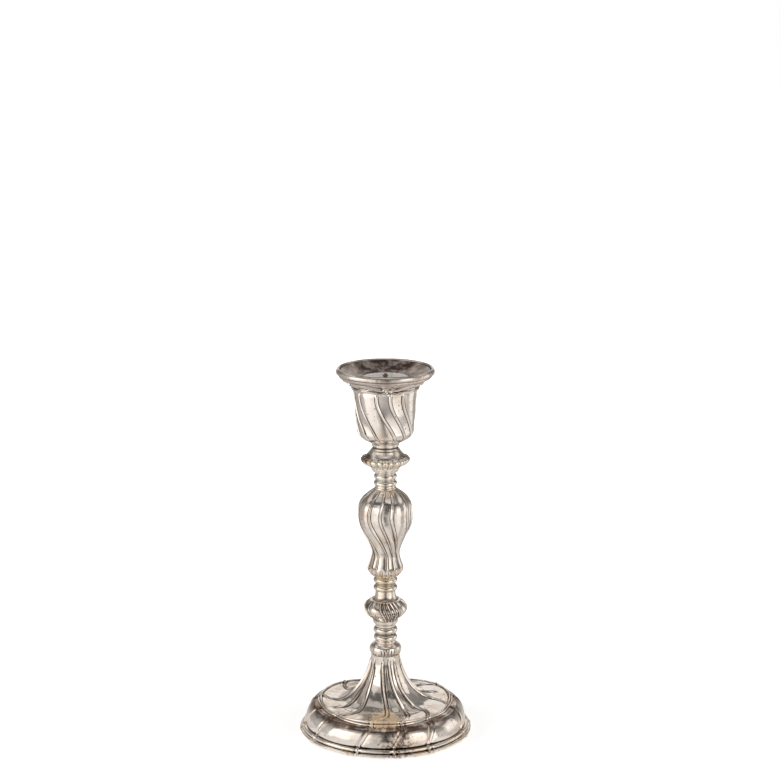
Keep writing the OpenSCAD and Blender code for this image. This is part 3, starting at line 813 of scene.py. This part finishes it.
def ringed_spool(place, low, high, rings, material):
    """Slim spool between two seams, with round rings."""
    keys = [(SEAM_R + 0.1, low)]
    for rise, r, half in rings:
        z = low + rise
        keys += [(SEAM_R, z - half, 0), (r, z - RING_FLAT, -2)]
        keys += [(r, z + RING_FLAT), (SEAM_R, z + half, 2)]
    keys.append((SEAM_R + 0.1, high, 0))
    bm = threaded(keys, STEM_STEPS)
    return piece(f"{place}_rings", bm, f"{place}_spool", material)


KNOP_TURN = 16
KNOP_SWEEP = 36


def swirled_knop(material):
    """Lower knop with slanting flutes."""
    low = LOWER_KNOP_Z
    widest = low + 8.0
    height = LOWER_KNOP_TOP - low
    keys = [
        (SEAM_R, low),
        (6.0, low + 1.1, -2),
        (6.1, low + 1.9),
        (9.9, low + 7.2, 0, 1),
        (10.3, widest + 0.3, -2, 1),
        (7.3, low + 12.2, 1.8, 0.8),
        (7.2, low + 12.5),
        (6.2, low + 12.7),
        (5.0, low + 15.0, -1.8),
        (SEAM_R, LOWER_KNOP_TOP),
    ]
    bm = threaded(keys, RIBBED_STEPS)

    def swirl(angle, r, z):
        return KNOP_TURN + KNOP_SWEEP * (widest - z) / height

    carved(bm, lambda angle, r, z: fluted(angle, r, 0.42, 0.6, 0.4, 0.4, split=2), swirl)
    return piece("swirled_knop", bm, "lower_knop", material)


BELLY_Z = BALUSTER_TOP - 12.8
BALUSTER_WAIST_Z = BALUSTER_Z + 11.2
BALUSTER_TURN = -12
SHOULDER_SWEEP = 12
BALUSTER_SWEEP = 46
PEARLS = 16
PEARL_H = 0.8


def baluster_turn(angle, r, z):
    """Turn of the baluster's flutes from the front."""
    if z > BELLY_Z:
        return BALUSTER_TURN + SHOULDER_SWEEP * ((z - BELLY_Z) / (BALUSTER_TOP - BELLY_Z)) ** 1.5
    return BALUSTER_TURN + BALUSTER_SWEEP * clamp((BELLY_Z - z) / (BELLY_Z - BALUSTER_WAIST_Z)) ** 1.6


def swirled_baluster(material):
    """Baluster whose flutes swing round from the shoulder to the lip."""
    low = BALUSTER_Z
    high = BALUSTER_TOP
    keys = [
        (SEAM_R + 0.2, low),
        (6.5, low + 1.1, -1.3, 1),
        (7.9, low + 2.7, -1.3, 1),
        (8.4, low + 4.0, -2, 1),
        (8.35, low + 4.9, 1, 1),
        (6.5, BALUSTER_WAIST_Z, -1.4, 1),
        (12.85, BELLY_Z - 1.6, 0, 1),
        (12.85, BELLY_Z + 1.1, 1, 1),
        (5.8, high - 1.3, 2.4, 0.2),
        (5.3, high - 0.9),
        (5.35, high - 0.4, -2),
        (SEAM_R, high, 2),
    ]
    bm = threaded(keys, RIBBED_STEPS)

    def flutes(angle, r, z):
        size = clamp(r / 12)
        pearls = step_down(z, low + 4.5, low + 5.0)
        ribs = fluted(angle, r, 0.5, 0.85 * size, 0.6 * size, 0.75 * size)
        return pearls * lobed(angle, PEARLS, PEARL_H) + (1 - pearls) * ribs

    carved(bm, flutes, baluster_turn)
    return piece("swirled_baluster", bm, "baluster", material)


GADROONS = 18
GADROON_H = 0.75


def knop_side_shade(angle, r, z):
    """Painted shade, brown, above the gadroons at the knop's two sides as seen from the front."""
    if z < UPPER_KNOP_Z + 6.2:
        return 0
    sideways = clamp((abs(sin(radians(angle))) - 0.62) / 0.2)
    return 1.6 * sideways * clamp((r - 8.2) / 0.8)


def gadrooned_knop(material):
    """Upper knop with a smooth top and gadroons round its widest line, with painted brown shade at its two
    sides.
    """
    low = UPPER_KNOP_Z
    keys = [
        (SEAM_R, low),
        (6.2, low + 1.0, -2),
        (6.9, low + 2.1),
        (6.95, low + 2.5),
        (7.1, low + 3.3, 1, 1),
        (11.0, low + 5.5, -1.4, 1),
        (11.5, low + 6.3, -2, 1),
        (11.4, low + 6.9, 1, 1),
        (9.9, low + 7.8, 2, 1),
        (9.4, low + 7.9),
        (7.6, NECK_Z - 0.9, 1.3),
        (NECK_R - 0.1, NECK_Z, -1.5),
    ]
    bm = threaded(keys, RIBBED_STEPS)
    marked(bm, "stain_and_shade", knop_side_shade)
    carved(bm, lambda angle, r, z: lobed(angle, GADROONS, GADROON_H))
    return piece("gadrooned_knop", bm, "upper_knop", material)


def hollow_neck(material):
    """Waisted neck that carries the cup."""
    keys = [
        (NECK_R - 0.1, NECK_Z),
        (6.0, NECK_Z + 1.1, 0),
        (6.05, NECK_Z + 1.5),
        (6.6, NECK_Z + 2.1, -2),
        (6.55, NECK_Z + 2.6, 2),
        (NECK_R, CUP_Z, 0),
    ]
    bm = threaded(keys, STEM_STEPS)
    return piece("hollow_neck", bm, "cup_neck", material)


CUP_R = 15.1
CUP_TURN = 9
CUP_SWEEP = 42
CUP_BORE_R = 11.55
CUP_WELL_R = 6.3
CUP_FLOOR_Z = CUP_Z + 3.2
BOWL_TOP = CUP_Z + 5.5
UPSTAND_R = 12.55
UPSTAND_TOP = top("socket_cup")


def fluted_cup(material):
    """Cup with a rounded bowl, swirling flutes outside and the bore for the nozzle inside."""
    keys = [
        (NECK_R, CUP_Z),
        (13.1, CUP_Z + 6.0, -2.1, 1),
        (14.9, BORDER_Z - 1.2, 1.15, 1),
        (CUP_R, BORDER_Z),
    ]
    upstand = [(CUP_R, BORDER_Z), (UPSTAND_R, BORDER_Z), (UPSTAND_R, UPSTAND_TOP)]
    bore = [(CUP_BORE_R, UPSTAND_TOP), (CUP_BORE_R, BOWL_TOP)]
    well = [(CUP_WELL_R, BOWL_TOP), (CUP_WELL_R, CUP_FLOOR_Z), (BORE_R, CUP_FLOOR_Z), (BORE_R, CUP_Z)]
    inside = outline(upstand + bore + well, COARSE)
    bm = spun(outline(keys) + inside[1:], RIBBED_STEPS)

    def swirl(angle, r, z):
        way = clamp((BORDER_Z - z) / (BORDER_Z - CUP_Z) / 0.95 - 0.1)
        return CUP_TURN + CUP_SWEEP * way**2 * (3 - 2 * way)

    carved(bm, lambda angle, r, z: fluted(angle, r, 0.55, 0.9, 0.5, 0.3), swirl)
    return piece("fluted_cup", bm, "socket_cup", material)


LEAF_TURN = 6
LEAF_HALF = 4.6
LEAF_VEINS = 4


def from_leaf(angle, r):
    """Distance along the surface from the middle of the nearest leaf. Each quarter has one."""
    turn = (angle - LEAF_TURN + GROUP / 2) % GROUP - GROUP / 2
    return abs(radians(turn)) * r


def border_relief(angle, r, z):
    """A veined leaf in each quarter, and scrolls that run down to it from both sides."""
    across = from_leaf(angle, r)
    rise = (z - BORDER_Z) / (PAN_Z - BORDER_Z)
    crest = 0.2 + 0.55 * clamp((across - LEAF_HALF * 0.7) / 8)
    scroll = 0.75 * ridge((rise - crest) * (PAN_Z - BORDER_Z), 0.55)
    scroll -= 0.35 * ridge(rise - crest - 0.4, 0.22)
    edge = LEAF_HALF * (1.1 - rise)
    inside = clamp((edge - across) / 0.5)
    veins = 0.35 * cos(pi * LEAF_VEINS * across / max(edge, 0.4) + 3 * rise)
    return scroll * (1 - inside) + inside * (0.45 + veins)


def leafy_border(material):
    """Band round the cup's top with leaves and scrolls."""
    keys = [
        (15.05, BORDER_Z),
        (15.3, BORDER_Z + 0.2, -2, 1),
        (15.45, BORDER_Z + 0.8, 1, 1),
        (15.85, PAN_Z - 0.5, 1, 1),
        (16.0, PAN_Z - 0.2, -2, 0.6),
        (16.05, PAN_Z),
    ]
    inside = [(UPSTAND_R + 0.08, PAN_Z, 0), (UPSTAND_R + 0.08, BORDER_Z, 0)]
    bm = spun(outline(keys, 0.14) + inside, RIBBED_STEPS)
    carved(bm, border_relief)
    return piece("leafy_border", bm, "cup_border", material)


PAN_R = radius("nozzle_pan")
PAN_HOLE_R = 11.25
FLANGE_R = radius("nozzle_tube")
FLANGE_T = 0.6
COVE_R = 22.3
COVE_TOP = PAN_Z + 4.7
COVE_LEAF_H = 3.2
COVE_SCROLL_REACH = 9


def cove_relief(angle, r, z):
    """Veined leaves and scrolls on the lower part of the pan's cove, over those of the cup's border."""
    rise = (z - PAN_Z) / COVE_LEAF_H
    if r < 16.4 or not 0.02 < rise < 1.1:
        return 0
    across = from_leaf(angle, r)
    fade = clamp((rise - 0.02) / 0.12) * clamp((1.1 - rise) / 0.15)
    edge = LEAF_HALF * (1.02 - rise)
    inside = clamp((edge - across) / 0.5)
    veins = 0.45 * cos(pi * LEAF_VEINS * across / max(edge, 0.5) + 4 * rise)
    crest = 0.16 + 0.62 * clamp((across - 3) / COVE_SCROLL_REACH)
    over = (rise - crest) * COVE_LEAF_H
    curls = 0.4 * sin(across * 2.4) * ridge(over + 0.95, 0.6)
    scroll = 0.75 * ridge(over, 0.6) - 0.45 * ridge(over - 0.8, 0.45) + curls
    return fade * (scroll * (1 - inside) + inside * (0.5 + veins))


def drip_pan(material):
    """Drip pan with a leafy cove below, a rolled lip and a sooty dish, its two sides seen from the front
    painted lighter as a reflection.
    """
    seat = FLANGE_TOP - FLANGE_T
    cove = outline([
        (PAN_HOLE_R, PAN_Z, 1, 1),
        (16.3, PAN_Z, 1, 0.1),
        (16.6, PAN_Z + 0.15, -2, 0.1),
        (COVE_R, COVE_TOP, 0, 0.45),
    ], 0.2)
    under = outline([
        (COVE_R, COVE_TOP, 0, 0.45),
        (22.35, PAN_Z + 5.1, 1, 0.8),
        (PAN_R, PAN_Z + 5.8, -2, 0.35),
        (PAN_R, PAN_Z + 6.6, 1, 0.2),
        (PAN_R - 0.75, PAN_TOP, 2, 0.15),
        (PAN_R - 1.3, PAN_TOP, 1, 0.2),
        (PAN_R - 1.75, PAN_TOP - 0.9, -2, 0.9),
    ])
    dish = outline([
        (PAN_R - 1.75, PAN_TOP - 0.9, 1, 0.9),
        (PAN_R - 2.2, PAN_TOP - 0.85, 1, 0.9),
        (PAN_R - 2.5, PAN_TOP - 0.75, 1, 1),
        (FLANGE_R + 0.5, FLANGE_TOP + 0.1, -0.6, 1),
        (FLANGE_R + 0.15, FLANGE_TOP - 0.15, -2, 1),
        (FLANGE_R + 0.1, seat, 1, 1),
        (PAN_HOLE_R, seat, 1, 1),
    ])
    bm = spun(cove + under[1:] + dish[1:], RIBBED_STEPS)
    soot_and_painted_shading = bm.verts.layers.float.new("soot_and_painted_shading")
    shares = bm.verts.layers.float["share"]
    for vert in bm.verts:
        # Less soot at the pan's left and right seen from the front: painted reflection that lightens the two
        # sides
        side = abs(sin(radians(around(vert)[0])))
        vert[soot_and_painted_shading] = vert[shares] * (1 - 0.4 * clamp((side - 0.6) / 0.35))
        vert[shares] = 1
    carved(bm, cove_relief)
    return piece("drip_pan", bm, "nozzle_pan", material, "nozzle")


CANDLE_R = 10.75
CANDLE_FLOOR = FLANGE_TOP - 20
TUBE_R = 11.2
MOUTH_H = 2.6
PIN_HOLE_R = 1.0
PIN_HOLE_Z = FLANGE_TOP - 1.5


def pierced(bm, soot_and_painted_shading, wax):
    """Cuts the round pin hole through the back of the tube's wall, and paints its edge and wall dark as the
    hole's shade.
    """
    middle = Vector((0, PIN_HOLE_Z * MM))
    wall = [f for f in bm.faces if f.calc_center_median().y > 0]
    hit = [f for f in wall if (f.calc_center_median().xz - middle).length < PIN_HOLE_R * MM]
    bmesh.ops.delete(bm, geom=hit, context="FACES")
    rims = [e for e in bm.edges if e.is_boundary]
    for vert in {v for e in rims for v in e.verts}:
        reach = hypot(vert.co.x, vert.co.y)
        edge = middle + (vert.co.xz - middle).normalized() * PIN_HOLE_R * MM
        vert.co = (edge.x, sqrt(reach**2 - edge.x**2), edge.y)
        # Painted shade: the hole's edge and wall are dark
        vert[soot_and_painted_shading] = 1
        vert[wax] = 0
    bmesh.ops.bridge_loops(bm, edges=rims)
    bmesh.ops.recalc_face_normals(bm, faces=bm.faces)


def candle_tube(material):
    """Tube for the candle, with a flange that lies in the pan."""
    seat = FLANGE_TOP - FLANGE_T
    points = outline([
        (0, TUBE_Z),
        (TUBE_R - 0.3, TUBE_Z),
        (TUBE_R, TUBE_Z + 0.3, -2),
        (TUBE_R, seat),
        (FLANGE_R, seat),
        (FLANGE_R, FLANGE_TOP - 0.15),
        (FLANGE_R - 0.15, FLANGE_TOP, 2),
        (CANDLE_R + 0.4, FLANGE_TOP),
        (CANDLE_R + 0.3, FLANGE_TOP - 0.15),
        (CANDLE_R, FLANGE_TOP - MOUTH_H),
        (CANDLE_R, CANDLE_FLOOR + 0.3),
        (CANDLE_R - 0.3, CANDLE_FLOOR, 2),
        (0, CANDLE_FLOOR),
    ])
    bm = spun(points, STEM_STEPS, closed=False)

    def sooty(angle, r, z):
        return 1 if z > FLANGE_TOP - 0.3 and r > CANDLE_R + 0.5 else 0

    def waxy(angle, r, z):
        return 1 if z > CANDLE_FLOOR - 0.1 and r < CANDLE_R + 0.35 else 0

    pierced(bm, marked(bm, "soot_and_painted_shading", sooty), marked(bm, "wax", waxy))
    return piece("candle_tube", bm, "nozzle_tube", material, "nozzle")


ROD_R = radius("tie_rod")
THREAD_PITCH = 0.8
THREAD_DEPTH = 0.3
THREAD_LENGTH = 8
THREAD_SPACING = 0.16
ROD_CHAMFER = 0.5
ROD_STEPS = 64


def rod_end(end, inwards):
    """Outline of one end of the rod, from its axis to the inner end of its thread."""
    edge = (ROD_R, end + inwards * ROD_CHAMFER, 1, 0.3)
    chamfer = [(0, end), (ROD_R - ROD_CHAMFER, end), edge]
    thread = [edge, (ROD_R, end + inwards * 0.9, 1, 1), (ROD_R, end + inwards * THREAD_LENGTH, 1, 1)]
    return outline(chamfer, 0.2) + outline(thread, THREAD_SPACING)[1:]


def threaded_rod(material):
    """Tie rod with a thread on both ends."""
    low = bottom("tie_rod")
    high = top("tie_rod")
    shank = [(ROD_R, low + THREAD_LENGTH, 1, 1), (ROD_R, high - THREAD_LENGTH, 1, 1)]
    points = rod_end(low, 1) + outline(shank, THREAD_LENGTH)[1:-1] + rod_end(high, -1)[::-1]
    bm = spun(points, ROD_STEPS, closed=False)

    def thread(angle, r, z):
        if low + THREAD_LENGTH < z < high - THREAD_LENGTH:
            return 0
        turn = (z / THREAD_PITCH - angle / 360) % 1
        return -THREAD_DEPTH * (1 - abs(2 * turn - 1))

    carved(bm, thread)
    return piece("threaded_rod", bm, "tie_rod", material)


NUT_FLAT_R = 4.0
NUT_SIDES = 6
NUT_CHAMFER = 0.45
NUT_STEPS = 144
BORE_CHAMFER = 0.35
THREAD_PLAY = 0.02


def hex_nut(name, node, material):
    """Hex nut: a chamfered blank whose sides are milled flat, with a bore for the rod."""
    low = bottom(node)
    high = top(node)
    corner = NUT_FLAT_R / cos(pi / NUT_SIDES)
    keys = [
        (ROD_R + BORE_CHAMFER, low),
        (NUT_FLAT_R - 0.1, low),
        (corner, low + NUT_CHAMFER, 1, 1),
        (corner, high - NUT_CHAMFER, 1, 1),
        (NUT_FLAT_R - 0.1, high),
        (ROD_R + BORE_CHAMFER, high),
        (ROD_R + THREAD_PLAY, high - BORE_CHAMFER),
        (ROD_R + THREAD_PLAY, low + BORE_CHAMFER),
    ]
    bm = spun(outline(keys, 0.2), NUT_STEPS)

    def flats(angle, r, z):
        half = 180 / NUT_SIDES
        side = (angle + half) % (2 * half) - half
        return max(0, r - NUT_FLAT_R / cos(radians(side)))

    drawn_in(bm, flats)
    return piece(name, bm, node, material)


WASHER_STEPS = 96
WASHER_EDGE = 0.2
WASHER_BREAK = 0.15


def washer(name, node, material):
    """Flat washer with rounded edges."""
    low = bottom(node)
    high = top(node)
    rim = radius(node)
    keys = [
        (BORE_R, low + WASHER_BREAK),
        (BORE_R + WASHER_BREAK, low),
        (rim - WASHER_EDGE, low),
        (rim, low + WASHER_EDGE, -2),
        (rim, high - WASHER_EDGE),
        (rim - WASHER_EDGE, high, 2),
        (BORE_R + WASHER_BREAK, high),
        (BORE_R, high - WASHER_BREAK),
    ]
    bm = spun(outline(keys, 0.3), WASHER_STEPS)
    return piece(name, bm, node, material)


FELT_STEPS = 360
FELT_WANDER = 0.16


def felt_disc(material):
    """Felt under the foot, with a cut edge that isn't quite round."""
    rim = radius("felt_pad")
    high = top("felt_pad")
    points = outline([
        (0, 0),
        (rim - 0.35, 0),
        (rim, 0.3, -2, 1),
        (rim, high - 0.2, 1, 1),
        (rim - 0.2, high, 2),
        (0, high),
    ], 0.8)
    bm = spun(points, FELT_STEPS, closed=False)

    def cut_edge(angle, r, z):
        return FELT_WANDER * noise.noise(Vector((angle * 0.6, z, 0))) - 0.1

    carved(bm, cut_edge)
    thing = piece("felt_disc", bm, "felt_pad", material)
    return thing


def dressed(node, material):
    """A CAD node whose shape stays gets its finish."""
    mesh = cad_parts[node].data
    mesh.materials.clear()
    mesh.materials.append(material)


def build_candlestick():
    foot_silver = silver_plate("foot_silver", warm=0.6, brass=0.3, front_marks=True)
    stem_silver = silver_plate("stem_silver", warm=0.65, brass=0.4)
    spool_silver = silver_plate("spool_silver", warm=0.3, brass=0.4, gilt=0.2)
    spool_gilt = silver_plate("spool_gilt", warm=0.4, brass=0.5, gilt=0.55)
    cup_silver = silver_plate("cup_silver", warm=0.45, brass=0.2, satin=0.08)
    knop_silver = silver_plate("knop_silver", warm=0.2, brass=0.4, gilt=0.5, satin=0.1)
    steel = tool_steel()
    ribbed_foot(foot_silver)
    tongued_collar(stem_silver)
    ringed_spool("lower", COLLAR_TOP, LOWER_KNOP_Z, LOWER_RINGS, spool_silver)
    swirled_knop(stem_silver)
    ringed_spool("middle", LOWER_KNOP_TOP, BALUSTER_Z, MIDDLE_RINGS, spool_gilt)
    swirled_baluster(stem_silver)
    ringed_spool("upper", BALUSTER_TOP, UPPER_KNOP_Z, UPPER_RINGS, spool_silver)
    gadrooned_knop(knop_silver)
    hollow_neck(spool_silver)
    fluted_cup(cup_silver)
    leafy_border(cup_silver)
    drip_pan(tarnished_plate("pan_plate"))
    candle_tube(tarnished_plate("tube_plate"))
    threaded_rod(steel)
    hex_nut("foot_hex_nut", "foot_nut", steel)
    hex_nut("cup_hex_nut", "cup_nut", steel)
    for end in ("lock", "foot", "cup"):
        washer(f"{end}_ring", f"{end}_washer", steel)
    felt_disc(green_felt())
    dressed("base_plate", plate_steel())
    dressed("base_filling", cast_plaster())


# Flags round the object: reach from the axis and height of each part's two edges, in metres
FLAG_TINT = (1.0, 0.948, 0.905)
FLAG_STEPS = 8
FLAG_REACH = 0.42
FLAG_LOW = 0.0005
FLAG_PARTS = {
    "near": ((0.0425, FLAG_LOW), (0.16, FLAG_LOW)),
    "far": ((0.16, FLAG_LOW), (FLAG_REACH, FLAG_LOW)),
    "low": ((FLAG_REACH, FLAG_LOW), (FLAG_REACH, 0.14)),
    "high": ((FLAG_REACH, 0.14), (FLAG_REACH, 0.27)),
    "upper": ((FLAG_REACH, 0.27), (FLAG_REACH, 0.42)),
    "roof": ((FLAG_REACH, 0.42), (0.31, 0.52)),
    "crown": ((0.31, 0.52), (0.02, 0.75)),
}

# Brightness of those parts in each sector, from the camera's side towards +X in degrees
BACK_FLAGS = (0.58, 0.54, 0.48, 0.94, 0.52, 0.46, 0.14)
BACK_SIDE_FLAGS = (0.62, 0.54, 0.42, 0.24, 0.18, 0.52, 0.18)
FLAGS = [
    (-4, 2, (0.62, 0.44, 0.22, 0.13, 0.13, 0.08, 0.85)),
    (2, 12, (0.58, 0.36, 0.18, 0.11, 0.12, 0.08, 0.85)),
    (12, 18, (0.62, 0.55, 0.45, 0.24, 0.22, 0.08, 0.80)),
    (18, 36, (0.74, 0.84, 0.85, 0.58, 0.34, 0.09, 0.70)),
    (36, 66, (0.84, 0.96, 1.30, 1.75, 0.70, 0.13, 0.48)),
    (66, 92, (0.62, 0.54, 0.58, 0.34, 0.24, 0.20, 0.32)),
    (92, 122, (0.78, 0.90, 1.10, 1.00, 0.36, 0.85, 0.20)),
    (122, 158, BACK_SIDE_FLAGS),
    (158, 180, BACK_FLAGS),
    (-180, -158, BACK_FLAGS),
    (-158, -122, BACK_SIDE_FLAGS),
    (-122, -86, (0.66, 0.56, 0.52, 0.46, 0.30, 0.80, 0.18)),
    (-86, -46, (0.84, 1.00, 1.36, 1.85, 0.75, 0.13, 0.48)),
    (-46, -22, (0.80, 0.90, 1.10, 1.10, 0.44, 0.10, 0.70)),
    (-22, -11, (0.65, 0.72, 0.75, 0.60, 0.30, 0.09, 0.80)),
    (-11, -4, (0.62, 0.57, 0.52, 0.30, 0.18, 0.08, 0.85)),
]


def flag_cloth(name, level):
    """Evenly lit cloth with soft clouds in it."""
    f = new_finish(name)
    clouds = f.grain(f.place(), 160, detail=2)
    shades = [rgb(*(level * share * tint for tint in FLAG_TINT)) for share in (0.6, 1.35)]
    return f.shown(f.add("Emission", {"Color": f.blend(clouds, *shades), "Strength": 1.0}))


def flag(name, path, start, sweep, material):
    """Curved card that only shows in reflections."""
    bm = bmesh.new()
    turn = Matrix.Rotation(radians(start), 4, "Z")
    ends = [bm.verts.new(turn @ Vector((0, -reach, height))) for reach, height in path]
    edge = bm.edges.new(ends)
    bmesh.ops.spin(bm, geom=ends + [edge], angle=radians(sweep), steps=FLAG_STEPS, **AXIS)
    thing = new_object(name, bm, material)
    thing.visible_camera = False
    thing.visible_diffuse = False
    thing.visible_shadow = False


def seen_rays(f):
    """1 for the rays that show the surroundings: seen, reflected or refracted."""
    kinds = ("Camera", "Glossy", "Transmission")
    seen, glossy, through = (f.add("LightPath", out=f"Is {kind} Ray") for kind in kinds)
    return seen.most(glossy).most(through)


# Lift of the floor beside the object, and the distances in metres between which it grows to white
FLOOR_LIFT = 0.52
LIFT_REACH = (0.06, 0.2)
FLOOR_HALF = 4
WHITE = rgb(1, 1, 1)


def pale_floor():
    """White table top that keeps the shadow."""
    f = new_finish("pale_floor")
    away = f.add("VectorMath", {0: f.place()}, out="Value", operation="LENGTH")
    glow = f.blend(away.between(*LIFT_REACH), rgb(FLOOR_LIFT, FLOOR_LIFT, FLOOR_LIFT), WHITE)
    lift = f.add("Emission", {"Color": glow, "Strength": seen_rays(f)})
    matt = f.add("BsdfDiffuse", {"Color": rgb(0.86, 0.86, 0.86)})
    material = f.shown(f.add("AddShader", {0: matt, 1: lift}))
    bm = bmesh.new()
    bmesh.ops.create_grid(bm, x_segments=1, y_segments=1, size=FLOOR_HALF)
    new_object("floor", bm, material)


AMBIENT = 0.45


def white_room():
    """White surroundings that light the object softly."""
    world = bpy.data.worlds.new("white_room")
    f = Finish(world)
    strength = AMBIENT + (1 - AMBIENT) * seen_rays(f)
    shader = f.add("Background", {"Color": WHITE, "Strength": strength})
    f.add("OutputWorld", {"Surface": shader})
    bpy.context.scene.world = world


# Soft boxes: width and height, and the point they are aimed at, in metres
BOX_SIZE = (0.6, 0.7)
BOX_AIM = Vector((0, 0, 0.09))


def softbox(name, place, radiance):
    """Area lamp of an even brightness."""
    lamp = bpy.data.lights.new(name, "AREA")
    lamp.shape = "RECTANGLE"
    lamp.size, lamp.size_y = BOX_SIZE
    lamp.energy = radiance * pi * lamp.size * lamp.size_y
    thing = bpy.data.objects.new(name, lamp)
    thing.location = place
    thing.rotation_euler = (BOX_AIM - Vector(place)).to_track_quat("-Z", "Y").to_euler()
    bpy.context.scene.collection.objects.link(thing)


def studio():
    """Soft boxes on both sides, and flags round the object that give its metal darks and lights."""
    softbox("left_box", (-0.95, -0.35, 0.5), 2.2)
    softbox("right_box", (0.95, -0.3, 0.5), 2.0)
    for number, (start, end, levels) in enumerate(FLAGS):
        for (part, path), level in zip(FLAG_PARTS.items(), levels):
            name = f"{part}_flag_{number}"
            flag(name, path, start, end - start, flag_cloth(name, level))
    white_room()
    pale_floor()


# The photograph's view
CAMERA_AT = (0.0022, -1.0067, 0.3895)
CAMERA_PITCH = radians(12.357)
FOCAL_PX = 2179.4
PHOTO_WIDTH = 780
SENSOR = 36.0


def photo_camera():
    lens = bpy.data.cameras.new("photo_camera")
    lens.sensor_fit = "HORIZONTAL"
    lens.sensor_width = SENSOR
    lens.lens = SENSOR * FOCAL_PX / PHOTO_WIDTH
    eye = bpy.data.objects.new("photo_camera", lens)
    eye.location = CAMERA_AT
    eye.rotation_euler = Euler((pi / 2 - CAMERA_PITCH, 0, 0))
    bpy.context.scene.collection.objects.link(eye)
    bpy.context.scene.camera = eye


build_candlestick()
studio()
photo_camera()
bpy.context.scene.view_settings.view_transform = "Standard"
